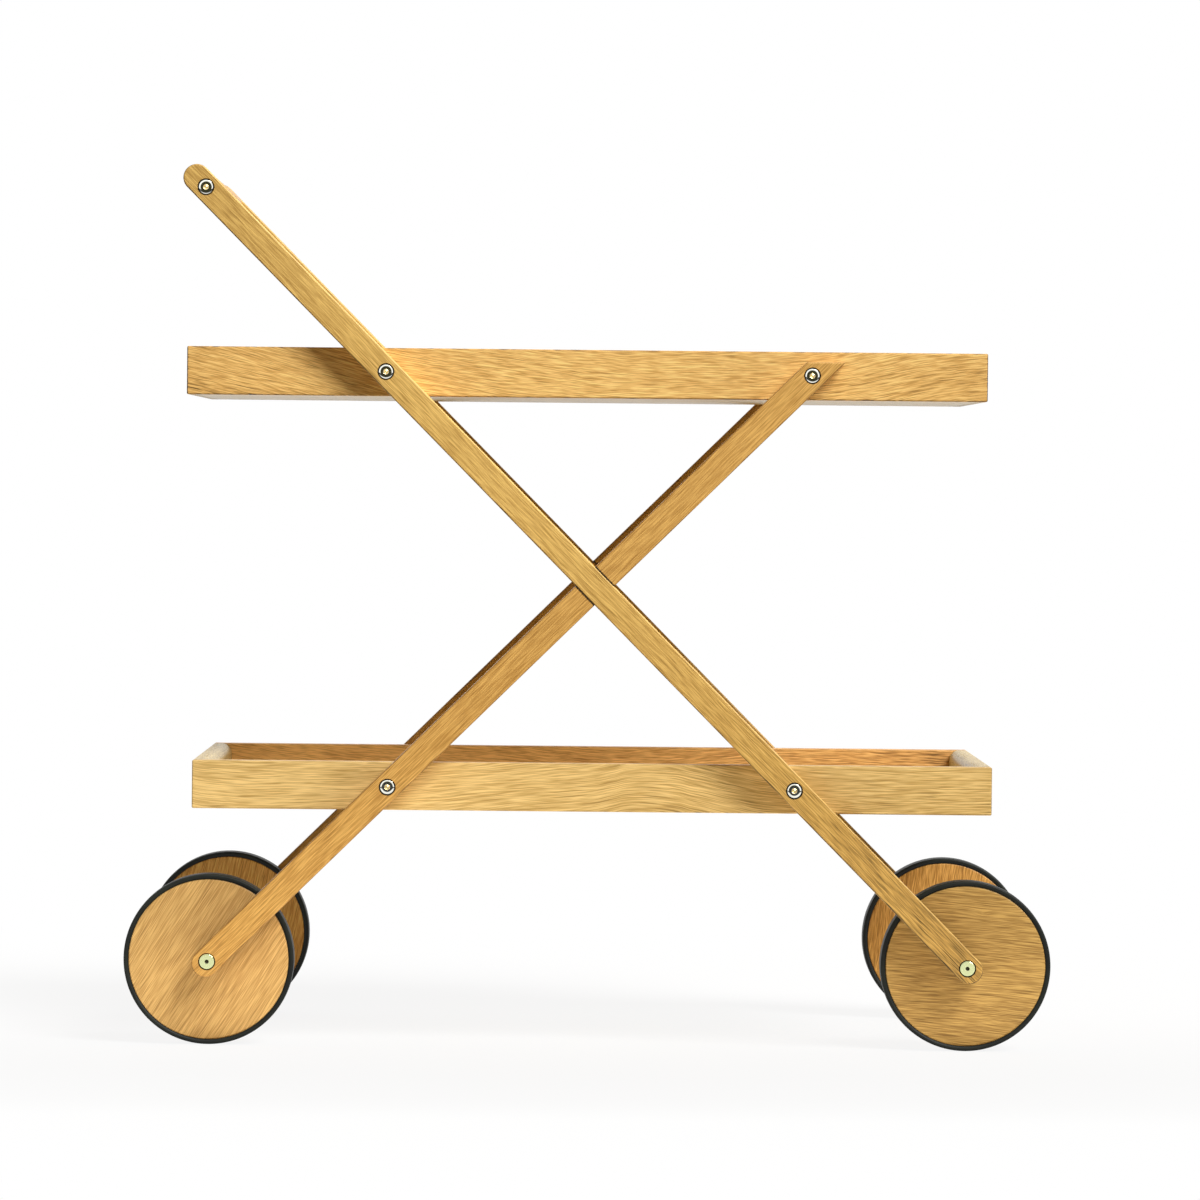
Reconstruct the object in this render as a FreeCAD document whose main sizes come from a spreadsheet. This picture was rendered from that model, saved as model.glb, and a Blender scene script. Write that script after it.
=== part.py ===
import FreeCAD, Part
import os
import Sketcher

# An oak serving trolley: two trays bolted between two crossed frames, a round handle
# and four rubber-tyred wooden wheels that turn on two fixed steel axles.
# +X runs from the handle end to the other end, +Y from the near side to the far side,
# +Z up. The origin is on the floor, under the middle of the wheels.

doc = FreeCAD.newDocument("serving_trolley")

# Driving sizes, in millimetres and degrees
SIZES = [
    ("wheel_diameter", 165.0, "over the tyre"),
    ("wheel_width", 28.0, "thickness of the wooden disc and of the tyre"),
    ("wheel_rounding", 1.5, "rounding of the disc's two rims"),
    ("wheel_gap", 6.5, "inner face of a bar to the wooden disc"),
    ("tyre_thickness", 5.0, "at the crown"),
    ("tyre_shoulder", 1.2, "height of the tyre's sides"),
    ("bush_diameter", 16.0, "outside of the bush in the disc"),
    ("bush_proud", 0.5, "how far the bush stands out of the disc on each side"),
    ("running_gap", 0.3, "end play of a wheel on each side"),
    ("turning_clearance", 0.05, "bush to axle, on the radius"),
    ("fixed_clearance", 0.05, "fixed piece to its hole, on the radius"),
    ("axle_diameter", 12.0, "steel axle"),
    ("axle_recess", 0.5, "axle's end below the floor of the cap's hole"),
    ("spacer_diameter", 20.0, "sleeve between a bar and a wheel"),
    ("washer_diameter", 24.0, "washer on the inner side of a wheel"),
    ("washer_thickness", 1.6, "washer on the inner side of a wheel"),
    ("ring_thickness", 1.0, "retaining ring"),
    ("ring_depth", 0.5, "depth of the retaining ring's groove"),
    ("ring_width", 3.0, "radial width of the retaining ring"),
    ("ring_opening", 6.0, "gap in the retaining ring"),
    ("cap_diameter", 14.9, "flat head of the axle's cap bolt"),
    ("cap_thickness", 3.4, "flat head of the axle's cap bolt"),
    ("cap_bevel", 0.5, "bevel round the cap"),
    ("cap_socket", 4.0, "hexagon socket across its flats"),
    ("cap_socket_depth", 2.2, "hexagon socket"),
    ("cap_thread_diameter", 6.0, "cap bolt's shank"),
    ("cap_thread_length", 12.0, "cap bolt's shank in the axle"),
    ("cap_hole_diameter", 16.5, "hole for the cap in the bar's outer face"),
    ("cap_hole_depth", 3.8, "hole for the cap in the bar's outer face"),
    ("bar_width", 26.0, "square-edged bars of the crossed frames"),
    ("bar_thickness", 26.0, "square-edged bars of the crossed frames"),
    ("long_angle", 45.2, "slope of the long bars, in degrees"),
    ("short_angle", 44.6, "slope of the short bars, in degrees"),
    ("bar_arris", 1.5, "rounding of the bars' edges"),
    ("lap_clearance", 0.1, "shoulders of the halved joint"),
    ("axle_drop", 364.5, "crossing down to the axles"),
    ("lower_drop", 195.0, "crossing down to the lower tray's bolts"),
    ("upper_rise", 204.0, "crossing up to the upper tray's bolts"),
    ("handle_rise", 379.4, "crossing up to the handle's bolts"),
    ("top_overhang", 12.5, "handle's bolt to the centre of the long bar's round end"),
    ("foot_overhang", 2.5, "axle to the centre of a bar's round foot"),
    ("end_cut_height", 13.0, "short bar's level end above its upper bolt"),
    ("bolt_head_diameter", 14.0, "button-head bolts"),
    ("bolt_head_height", 4.4, "button-head bolts"),
    ("bolt_head_round", 3.6, "dome of the button head"),
    ("bolt_socket", 5.0, "hexagon socket across its flats"),
    ("bolt_socket_depth", 2.8, "hexagon socket"),
    ("bolt_thread_diameter", 8.0, "button-head bolts"),
    ("bolt_engagement", 13.0, "bolt's length in its insert"),
    ("bolt_hole_clearance", 0.2, "bolt in the bar, on the radius"),
    ("counterbore_diameter", 15.6, "sunk seat of a bolt head"),
    ("counterbore_depth", 4.8, "sunk seat of a bolt head"),
    ("insert_diameter", 12.0, "threaded insert"),
    ("insert_length", 13.0, "threaded insert"),
    ("insert_room", 1.5, "hole beyond the insert's end"),
    ("tray_length", 772.0, "outside of both trays"),
    ("tray_width", 415.0, "outside of both trays, and between the crossed frames"),
    ("upper_tray_shift", 5.1, "upper tray's middle to the wheels' middle, towards the handle"),
    ("lower_tray_shift", 3.0, "lower tray's middle to the wheels' middle, away from the handle"),
    ("board_height", 46.5, "tray's side and end boards"),
    ("board_thickness", 18.0, "tray's side and end boards"),
    ("board_arris", 1.5, "rounding of the boards' outer edges"),
    ("end_round", 10.0, "round-over inside the end boards' top edge"),
    ("panel_thickness", 6.0, "tray's bottom"),
    ("panel_ledge", 9.0, "width of the rebate that the bottom lies in"),
    ("panel_clearance", 0.3, "bottom to the rebate's wall"),
    ("dowel_diameter", 8.0, "corner dowels"),
    ("dowel_in_board", 12.0, "dowel's length in the side board"),
    ("dowel_in_end", 18.0, "dowel's length in the end board"),
    ("hole_end_gap", 0.5, "room beyond a dowel, a screw or a cap bolt in its blind hole"),
    ("screw_diameter", 3.5, "countersunk screws of the bottom"),
    ("screw_head_diameter", 7.0, "countersunk screws of the bottom"),
    ("screw_length", 16.0, "countersunk screws of the bottom"),
    ("screw_point", 3.0, "screw's tapered point"),
    ("handle_diameter", 26.0, "round handle"),
]

# Where the dowels stand in a board's height, and the bottom's screws along a tray,
# as shares of that height or half length
DOWEL_HEIGHT_SHARES = (0.36, 0.76)
SCREW_PLACE_SHARES = (-0.86, 0.0, 0.86)

# Angles, in degrees, and the distance within which two places count as one
HALF_TURN = 180
FULL_TURN = 360
HEXAGON_TURN = 60
TOUCH = 1e-4

sheet = doc.addObject("Spreadsheet::Sheet", "Sizes")
for row, (alias, amount, note) in enumerate(SIZES, start=1):
    sheet.set(f"A{row}", alias)
    sheet.set(f"B{row}", str(amount))
    sheet.setAlias(f"B{row}", alias)
    sheet.set(f"C{row}", note)
doc.recompute()

# Each kind of bar: its slope, how far it is turned on a sketch, and which way its foot lies
BARS = {
    "long": ("Sizes.long_angle", "180 - Sizes.long_angle", 1),
    "short": ("Sizes.short_angle", "Sizes.short_angle", -1),
}


def along_bar(kind, height):
    """How far along a bar the given height above the crossing lies."""
    return f"({height}) / sin({BARS[kind][0]})"


def across_bar(kind, height):
    """How far along X from the crossing a bar is at the given height above it."""
    return f"{-BARS[kind][2]} * ({height}) / tan({BARS[kind][0]})"


# Places worked out from the sheet, written as its expressions
HALF_BAR = "Sizes.bar_width / 2"
HALF_TRAY = "Sizes.tray_width / 2"
TYRE_RADIUS = "Sizes.wheel_diameter / 2"
DISC_RADIUS = f"({TYRE_RADIUS} - Sizes.tyre_thickness)"
CROSSING_HEIGHT = f"({TYRE_RADIUS} + Sizes.axle_drop)"
LONG_FOOT = f"({across_bar('long', '-Sizes.axle_drop')})"
SHORT_FOOT = f"({across_bar('short', '-Sizes.axle_drop')})"
CROSSING_PLACE = f"(-({LONG_FOOT} + {SHORT_FOOT}) / 2)"
AXLE_REACH = f"(({LONG_FOOT} - {SHORT_FOOT}) / 2)"
HANDLE_PLACE = f"({CROSSING_PLACE} + {across_bar('long', 'Sizes.handle_rise')})"
HANDLE_HEIGHT = f"({CROSSING_HEIGHT} + Sizes.handle_rise)"
WHEEL_PLACE = f"({HALF_TRAY} - Sizes.wheel_gap - Sizes.wheel_width / 2)"
BUSH_REACH = "(Sizes.wheel_width / 2 + Sizes.bush_proud)"
WASHER_PLACE = f"({WHEEL_PLACE} - {BUSH_REACH} - Sizes.running_gap - Sizes.washer_thickness / 2)"
RING_PLACE = f"({WASHER_PLACE} - Sizes.washer_thickness / 2 - Sizes.ring_thickness / 2)"
SPACER_LENGTH = "(Sizes.wheel_gap - Sizes.bush_proud - Sizes.running_gap)"
AXLE_BORE = "(Sizes.axle_diameter / 2 + Sizes.turning_clearance)"
AXLE_SEAT = "(Sizes.axle_diameter / 2 + Sizes.fixed_clearance)"
AXLE_HALF = f"({HALF_TRAY} + Sizes.bar_thickness - Sizes.cap_hole_depth - Sizes.axle_recess)"
RING_INNER = "(Sizes.axle_diameter / 2 - Sizes.ring_depth + Sizes.fixed_clearance)"
BOLT_BORE = "(Sizes.bolt_thread_diameter / 2 + Sizes.fixed_clearance)"
BOLT_LENGTH = "(Sizes.bar_thickness - Sizes.counterbore_depth + Sizes.bolt_engagement)"
INSERT_HOLE_DEPTH = "(Sizes.insert_length + Sizes.insert_room)"
INSERT_SEAT = "(Sizes.insert_diameter / 2 + Sizes.fixed_clearance)"
LEDGE_MIDDLE = "(Sizes.board_thickness - Sizes.panel_ledge / 2)"
PANEL_HALF_LENGTH = "(Sizes.tray_length / 2 - Sizes.board_thickness + Sizes.panel_ledge)"
PANEL_HALF_WIDTH = "(Sizes.tray_width / 2 - Sizes.board_thickness + Sizes.panel_ledge)"
SCREW_BORE = "(Sizes.screw_diameter / 2 + Sizes.fixed_clearance)"
DOWEL_BORE = "(Sizes.dowel_diameter / 2 + Sizes.fixed_clearance)"

# Each tray: its bolts' height above the crossing, its middle along X, and the bars that
# hold its left and its right bolts
TRAYS = {
    "upper_tray": ("Sizes.upper_rise", "-Sizes.upper_tray_shift", ("long", "short")),
    "lower_tray": ("-Sizes.lower_drop", "Sizes.lower_tray_shift", ("short", "long")),
}
# Which way each side of the trolley lies along Y
SIDES = {"near": -1, "far": 1}
# Which way each end of a tray, and each pair of wheels, lies along X
ENDS = {"left": -1, "right": 1}

nodes = []


def measure(text):
    """The number that an expression of the sheet gives, as a length or as a plain number."""
    result = sheet.evalExpression(text)
    return result.Value if hasattr(result, "Value") else float(result)


def new_body(label, x="0", y="0", z="0"):
    """An empty body whose place is bound to the sheet."""
    body = doc.addObject("PartDesign::Body", label)
    body.Label = label
    for axis, text in zip("xyz", (x, y, z)):
        body.setExpression(f"Placement.Base.{axis}", text)
    return body


def new_sketch(body, plane, lift="0", turn="0"):
    """A sketch on one of the body's own planes, lifted along its normal and turned on it."""
    sketch = body.newObject("Sketcher::SketchObject", "Sketch")
    support = [item for item in body.Origin.OriginFeatures if item.Role == plane]
    sketch.AttachmentSupport = [(support[0], "")]
    sketch.MapMode = "FlatFace"
    sketch.AttachmentOffset = FreeCAD.Placement(
        FreeCAD.Vector(0, 0, 0), FreeCAD.Rotation(FreeCAD.Vector(0, 0, 1), measure(turn))
    )
    sketch.setExpression("AttachmentOffset.Rotation.Angle", turn)
    sketch.setExpression("AttachmentOffset.Base.z", lift)
    return sketch


def bind(sketch, kind, text, *place):
    """A sketch constraint whose value is an expression of the sheet."""
    index = sketch.addConstraint(Sketcher.Constraint(kind, *place, measure(text)))
    sketch.setExpression(f"Constraints[{index}]", text)


def draw_outline(sketch, corners):
    """A closed outline of straight lines through the corners, each an x and a y expression."""
    points = [FreeCAD.Vector(measure(x), measure(y), 0) for x, y in corners]
    lines = [
        sketch.addGeometry(Part.LineSegment(start, end), False)
        for start, end in zip(points, points[1:] + points[:1])
    ]
    for line, following in zip(lines, lines[1:] + lines[:1]):
        sketch.addConstraint(Sketcher.Constraint("Coincident", line, 2, following, 1))
    for line, (x, y) in zip(lines, corners):
        bind(sketch, "DistanceX", x, line, 1)
        bind(sketch, "DistanceY", y, line, 1)
    return lines


def draw_circles(sketch, centres, radius):
    """Circles of one radius about centres given as x and y expressions."""
    for x, y in centres:
        centre = FreeCAD.Vector(measure(x), measure(y), 0)
        circle = sketch.addGeometry(Part.Circle(centre, FreeCAD.Vector(0, 0, 1), measure(radius)), False)
        bind(sketch, "DistanceX", x, circle, 3)
        bind(sketch, "DistanceY", y, circle, 3)
        bind(sketch, "Radius", radius, circle)


def box_corners(x_low, x_high, y_low, y_high):
    """The four corners of a rectangle."""
    return [(x_low, y_low), (x_high, y_low), (x_high, y_high), (x_low, y_high)]


def pad(body, sketch, length, turned=False, both_ways=False):
    """Material from the sketch along its normal, or the other way where turned."""
    feature = body.newObject("PartDesign::Pad", "Pad")
    feature.Profile = sketch
    feature.setExpression("Length", length)
    feature.Reversed = turned
    feature.Midplane = both_ways
    doc.recompute()
    return feature


def cut(body, sketch, depth, turned=False):
    """A pocket from the sketch against its normal, or along it where turned."""
    before = body.Shape.Volume
    feature = body.newObject("PartDesign::Pocket", "Pocket")
    feature.Profile = sketch
    feature.setExpression("Length", depth)
    feature.Reversed = turned
    doc.recompute()
    if not body.Shape.Volume < before:
        raise ValueError(f"a pocket of {body.Label} cuts nothing")
    return feature


def soften(body, feature, radius, chosen, kind="Fillet"):
    """A fillet or chamfer on the edges of a feature that the test chooses."""
    names = [f"Edge{number}" for number, edge in enumerate(feature.Shape.Edges, 1) if chosen(edge)]
    dressed = body.newObject(f"PartDesign::{kind}", kind)
    dressed.Base = (feature, names)
    dressed.setExpression("Radius" if kind == "Fillet" else "Size", radius)
    doc.recompute()
    return dressed


def revolve(body, sketch):
    """The sketch turned a whole turn about its own upright axis."""
    feature = body.newObject("PartDesign::Revolution", "Revolution")
    feature.Profile = sketch
    feature.ReferenceAxis = (sketch, ["V_Axis"])
    feature.Angle = FULL_TURN
    doc.recompute()
    return feature


def keep(item):
    """Notes a finished piece as a node."""
    nodes.append(item)
    return item


def group(label, master, places):
    """Copies of one fastener at several placements, as separate solids of one node."""
    copies = []
    for place in places:
        copy = master.Shape.Solids[0].copy()
        copy.Placement = place
        copies.append(copy)
    item = doc.addObject("Part::Feature", label)
    item.Label = label
    item.Shape = Part.makeCompound(copies)
    item.Placement = FreeCAD.Placement()
    return keep(item)


def at_plane(edge, axis, text):
    """Whether a whole edge lies in the plane where one coordinate has a given value."""
    goal = measure(text)
    box = edge.BoundBox
    low, high = getattr(box, f"{axis}Min"), getattr(box, f"{axis}Max")
    return abs(low - goal) < TOUCH and abs(high - goal) < TOUCH


def is_ring(edge, radius):
    """Whether an edge is a circle of the given radius."""
    return hasattr(edge.Curve, "Radius") and abs(edge.Curve.Radius - radius) < TOUCH


# The crossed frames: on each side a long bar that carries the handle and a short bar.
# The long bar runs whole across the outer face; both are halved where they cross.
def make_bar(kind, side):
    """One bar, padded outwards from the plane of its inner face, with its holes."""
    near = SIDES[side] < 0
    middle_face = f"{SIDES[side]} * {HALF_TRAY}"
    body = new_body(f"{kind}_bar_{side}", x=CROSSING_PLACE, y=middle_face, z=CROSSING_HEIGHT)
    slope, turn, _ = BARS[kind]
    outer_face = f"{-SIDES[side]} * Sizes.bar_thickness"
    axle = along_bar(kind, "-Sizes.axle_drop")
    upper_bolt = along_bar(kind, "Sizes.upper_rise")
    foot = f"({axle} - Sizes.foot_overhang)"

    sketch = new_sketch(body, "XZ_Plane", turn=turn)
    if kind == "long":
        top = f"({along_bar(kind, 'Sizes.handle_rise')} + Sizes.top_overhang)"
        draw_outline(sketch, box_corners(foot, top, f"-{HALF_BAR}", HALF_BAR))
        round_ends = [foot, top]
    else:
        cut_middle = along_bar(kind, "Sizes.upper_rise + Sizes.end_cut_height")
        slant = f"{HALF_BAR} / tan({slope})"
        draw_outline(
            sketch,
            [
                (foot, f"-{HALF_BAR}"),
                (f"{cut_middle} + {slant}", f"-{HALF_BAR}"),
                (f"{cut_middle} - {slant}", HALF_BAR),
                (foot, HALF_BAR),
            ],
        )
        round_ends = [foot]
    pad(body, sketch, "Sizes.bar_thickness", turned=not near)
    for end in round_ends:
        sketch = new_sketch(body, "XZ_Plane", turn=turn)
        draw_circles(sketch, [(end, "0")], HALF_BAR)
        last = pad(body, sketch, "Sizes.bar_thickness", turned=not near)

    inner = "0"
    outer = f"{SIDES[side]} * Sizes.bar_thickness"
    soften(
        body,
        last,
        "Sizes.bar_arris",
        lambda edge: at_plane(edge, "Y", inner) or at_plane(edge, "Y", outer),
    )

    half_notch = f"({HALF_BAR} + Sizes.lap_clearance)"
    notch_reach = "2 * Sizes.bar_width"
    notch_lift = "0" if kind == "long" else outer_face
    other_turn = BARS["short" if kind == "long" else "long"][1]
    sketch = new_sketch(body, "XZ_Plane", lift=notch_lift, turn=other_turn)
    draw_outline(sketch, box_corners(f"-{notch_reach}", notch_reach, f"-{half_notch}", half_notch))
    cut(body, sketch, "Sizes.bar_thickness / 2", turned=near if kind == "long" else not near)

    bolts = [along_bar(kind, "-Sizes.lower_drop"), upper_bolt]
    if kind == "long":
        bolts.append(along_bar(kind, "Sizes.handle_rise"))
    holes = [
        (bolts, "Sizes.counterbore_diameter / 2", "Sizes.counterbore_depth"),
        (bolts, "Sizes.bolt_thread_diameter / 2 + Sizes.bolt_hole_clearance", "Sizes.bar_thickness"),
        ([axle], "Sizes.cap_hole_diameter / 2", "Sizes.cap_hole_depth"),
        ([axle], AXLE_SEAT, "Sizes.bar_thickness"),
    ]
    for places, radius, depth in holes:
        sketch = new_sketch(body, "XZ_Plane", lift=outer_face, turn=turn)
        draw_circles(sketch, [(place, "0") for place in places], radius)
        cut(body, sketch, depth, turned=not near)
    return keep(body)


for side in SIDES:
    for kind in BARS:
        make_bar(kind, side)


# The handle: a round rail between the long bars, with a threaded insert in each end
handle = new_body("handle_rail", x=HANDLE_PLACE, z=HANDLE_HEIGHT)
sketch = new_sketch(handle, "XZ_Plane")
draw_circles(sketch, [("0", "0")], "Sizes.handle_diameter / 2")
pad(handle, sketch, "Sizes.tray_width", both_ways=True)
for side, way in SIDES.items():
    sketch = new_sketch(handle, "XZ_Plane", lift=f"{-way} * {HALF_TRAY}")
    draw_circles(sketch, [("0", "0")], INSERT_SEAT)
    cut(handle, sketch, INSERT_HOLE_DEPTH, turned=way > 0)
keep(handle)


# The trays: side boards that run the whole length, end boards dowelled between them,
# and a bottom that lies flush in a rebate and is screwed up from below
def tray_middle(tray):
    """A tray's middle along X."""
    return TRAYS[tray][1]


def tray_floor(tray):
    """The height of a tray's lower edge."""
    return f"({bolt_height(tray)} - Sizes.board_height / 2)"


def bolt_height(tray):
    """The height of a tray's bolts, at the middle of its boards."""
    return f"({CROSSING_HEIGHT} + {TRAYS[tray][0]})"


def bolt_places(tray):
    """Where a tray's left and right bolts lie along X."""
    height, _, kinds = TRAYS[tray]
    return [f"({CROSSING_PLACE} + {across_bar(kind, height)})" for kind in kinds]


def make_side_board(tray, side):
    """A side board: outer face on the frame's bars, inner face towards the other side."""
    way = SIDES[side]
    near = way < 0
    middle = tray_middle(tray)
    body = new_body(f"{tray}_{side}_board", x=middle, y=f"{way} * {HALF_TRAY}", z=tray_floor(tray))
    half = "Sizes.tray_length / 2"
    inner = f"{-way} * Sizes.board_thickness"
    sketch = new_sketch(body, "XY_Plane")
    low, high = ("0", inner) if near else (inner, "0")
    draw_outline(sketch, box_corners(f"-{half}", half, low, high))
    block = pad(body, sketch, "Sizes.board_height")
    ends = (f"-{half}", half)
    soften(
        body,
        block,
        "Sizes.board_arris",
        lambda edge: at_plane(edge, "Y", "0")
        or at_plane(edge, "Z", "Sizes.board_height")
        or any(at_plane(edge, "X", end) for end in ends),
    )

    # the stopped rebate for the bottom
    wall = f"{-way} * (Sizes.board_thickness - Sizes.panel_ledge)"
    open_side = f"{-way} * 2 * Sizes.board_thickness"
    low, high = (wall, open_side) if near else (open_side, wall)
    sketch = new_sketch(body, "XY_Plane")
    draw_outline(sketch, box_corners(f"-{PANEL_HALF_LENGTH}", PANEL_HALF_LENGTH, low, high))
    cut(body, sketch, "Sizes.panel_thickness", turned=True)

    # inserts for the two bolts, from the outer face
    sketch = new_sketch(body, "XZ_Plane")
    places = [(f"{place} - ({middle})", "Sizes.board_height / 2") for place in bolt_places(tray)]
    draw_circles(sketch, places, INSERT_SEAT)
    cut(body, sketch, INSERT_HOLE_DEPTH, turned=not near)

    # dowel holes, from the inner face
    sketch = new_sketch(body, "XZ_Plane", lift=f"{way} * Sizes.board_thickness")
    draw_circles(sketch, dowel_centres(), DOWEL_BORE)
    cut(body, sketch, "Sizes.dowel_in_board + Sizes.hole_end_gap", turned=near)

    # pilot holes of the bottom's screws, from below
    sketch = new_sketch(body, "XY_Plane")
    rows = [(x, y) for x, y in screw_centres() if is_side_row(y, way)]
    draw_circles(sketch, [(x, f"{y} - {way} * {HALF_TRAY}") for x, y in rows], SCREW_BORE)
    cut(body, sketch, "Sizes.screw_length + Sizes.hole_end_gap", turned=True)
    return keep(body)


def dowel_centres():
    """The dowels' x and z in a tray, from its middle and its lower edge."""
    column = "(Sizes.tray_length / 2 - Sizes.board_thickness / 2)"
    return [
        (f"{end} * {column}", f"Sizes.board_height * {share}")
        for end in ENDS.values()
        for share in DOWEL_HEIGHT_SHARES
    ]


def screw_centres():
    """The bottom's screws: a row along each side's ledge and one on each end's ledge."""
    side_row = f"({HALF_TRAY} - {LEDGE_MIDDLE})"
    end_column = f"(Sizes.tray_length / 2 - {LEDGE_MIDDLE})"
    along = [
        (f"{share} * {PANEL_HALF_LENGTH}", f"{way} * {side_row}")
        for way in SIDES.values()
        for share in SCREW_PLACE_SHARES
    ]
    across = [(f"{end} * {end_column}", "0 * Sizes.tray_width") for end in ENDS.values()]
    return along + across


def is_side_row(y, way):
    """Whether a screw lies on the ledge of the side board that lies that way."""
    return measure(y) * way > 0


def make_end_board(tray, end):
    """An end board between the side boards, its inner top edge rounded over."""
    way = ENDS[end]
    outer_end = f"{tray_middle(tray)} + {way} * Sizes.tray_length / 2"
    body = new_body(f"{tray}_{end}_end", x=outer_end, z=tray_floor(tray))
    inner = f"{-way} * Sizes.board_thickness"
    wall = f"{-way} * (Sizes.board_thickness - Sizes.panel_ledge)"
    length = "(Sizes.tray_width - 2 * Sizes.board_thickness)"
    sketch = new_sketch(body, "XZ_Plane")
    draw_outline(
        sketch,
        [
            ("0", "0"),
            (wall, "0"),
            (wall, "Sizes.panel_thickness"),
            (inner, "Sizes.panel_thickness"),
            (inner, "Sizes.board_height"),
            ("0", "Sizes.board_height"),
        ],
    )
    block = pad(body, sketch, length, both_ways=True)
    top = "Sizes.board_height"
    rounded = soften(
        body,
        block,
        "Sizes.end_round",
        lambda edge: at_plane(edge, "Z", top) and at_plane(edge, "X", inner),
    )
    soften(
        body,
        rounded,
        "Sizes.board_arris",
        lambda edge: at_plane(edge, "X", "0") and (at_plane(edge, "Z", top) or at_plane(edge, "Z", "0")),
    )

    column = f"{-way} * Sizes.board_thickness / 2"
    places = [(column, f"Sizes.board_height * {share}") for share in DOWEL_HEIGHT_SHARES]
    for side_way in SIDES.values():
        sketch = new_sketch(body, "XZ_Plane", lift=f"{-side_way} * {length} / 2")
        draw_circles(sketch, places, DOWEL_BORE)
        cut(body, sketch, "Sizes.dowel_in_end + Sizes.hole_end_gap", turned=side_way > 0)

    sketch = new_sketch(body, "XY_Plane")
    draw_circles(sketch, [(f"{-way} * {LEDGE_MIDDLE}", "0")], SCREW_BORE)
    cut(body, sketch, "Sizes.screw_length + Sizes.hole_end_gap", turned=True)
    return keep(body)


def make_bottom(tray):
    """The tray's bottom, with countersunk holes for its screws."""
    body = new_body(f"{tray}_bottom", x=tray_middle(tray), z=tray_floor(tray))
    half_length = f"({PANEL_HALF_LENGTH} - Sizes.panel_clearance)"
    half_width = f"({PANEL_HALF_WIDTH} - Sizes.panel_clearance)"
    sketch = new_sketch(body, "XY_Plane")
    draw_outline(sketch, box_corners(f"-{half_length}", half_length, f"-{half_width}", half_width))
    pad(body, sketch, "Sizes.panel_thickness")
    sketch = new_sketch(body, "XY_Plane")
    draw_circles(sketch, screw_centres(), SCREW_BORE)
    drilled = cut(body, sketch, "Sizes.panel_thickness", turned=True)
    bore = measure(SCREW_BORE)
    sink = "(Sizes.screw_head_diameter - Sizes.screw_diameter) / 2"
    soften(body, drilled, sink, lambda edge: at_plane(edge, "Z", "0") and is_ring(edge, bore), kind="Chamfer")
    return keep(body)


for tray in TRAYS:
    for side in SIDES:
        make_side_board(tray, side)
    for end in ENDS:
        make_end_board(tray, end)
    make_bottom(tray)


# The wheels: a wooden disc with a bush pressed in and a rubber tyre stretched on
def make_wheel(side, end):
    """Disc, tyre and bush of one wheel, each turned about the axle."""
    place = {
        "x": f"{ENDS[end]} * {AXLE_REACH}",
        "y": f"{SIDES[side]} * {WHEEL_PLACE}",
        "z": TYRE_RADIUS,
    }
    half = "Sizes.wheel_width / 2"
    bush_seat = "(Sizes.bush_diameter / 2 + Sizes.fixed_clearance)"
    disc = new_body(f"wheel_{side}_{end}", **place)
    sketch = new_sketch(disc, "XY_Plane")
    draw_outline(sketch, box_corners(bush_seat, DISC_RADIUS, f"-{half}", half))
    turned = revolve(disc, sketch)
    rim = measure(DISC_RADIUS)
    soften(disc, turned, "Sizes.wheel_rounding", lambda edge: is_ring(edge, rim))
    keep(disc)

    tyre = new_body(f"tyre_{side}_{end}", **place)
    inner = f"({DISC_RADIUS} + Sizes.fixed_clearance)"
    shoulder = f"({DISC_RADIUS} + Sizes.tyre_shoulder)"
    rise = "(Sizes.tyre_thickness - Sizes.tyre_shoulder)"
    crown = f"({half} * {half} + {rise} * {rise}) / (2 * {rise})"
    sketch = new_sketch(tyre, "XY_Plane")
    draw_tyre(sketch, inner, shoulder, half, crown)
    revolve(tyre, sketch)
    keep(tyre)

    bush = new_body(f"bush_{side}_{end}", **place)
    sketch = new_sketch(bush, "XY_Plane")
    outside = "Sizes.bush_diameter / 2"
    draw_outline(sketch, box_corners(AXLE_BORE, outside, f"-{BUSH_REACH}", BUSH_REACH))
    revolve(bush, sketch)
    keep(bush)


def draw_tyre(sketch, inner, shoulder, half, crown):
    """The tyre's section: flat inside, low sides and an arc over the crown."""
    corners = [(shoulder, half), (inner, half), (inner, f"-{half}"), (shoulder, f"-{half}")]
    points = [FreeCAD.Vector(measure(x), measure(y), 0) for x, y in corners]
    lines = [
        sketch.addGeometry(Part.LineSegment(start, end), False) for start, end in zip(points, points[1:])
    ]
    for line, following in zip(lines, lines[1:]):
        sketch.addConstraint(Sketcher.Constraint("Coincident", line, 2, following, 1))
    for line, (x, y) in zip(lines, corners):
        bind(sketch, "DistanceX", x, line, 1)
        bind(sketch, "DistanceY", y, line, 1)
    bind(sketch, "DistanceX", corners[-1][0], lines[-1], 2)
    bind(sketch, "DistanceY", corners[-1][1], lines[-1], 2)
    top = FreeCAD.Vector(measure(TYRE_RADIUS), 0, 0)
    arc = sketch.addGeometry(Part.Arc(points[-1], top, points[0]), False)
    sketch.addConstraint(Sketcher.Constraint("Coincident", lines[-1], 2, arc, 1))
    sketch.addConstraint(Sketcher.Constraint("Coincident", lines[0], 1, arc, 2))
    bind(sketch, "Radius", crown, arc)


for side in SIDES:
    for end in ENDS:
        make_wheel(side, end)


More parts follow.
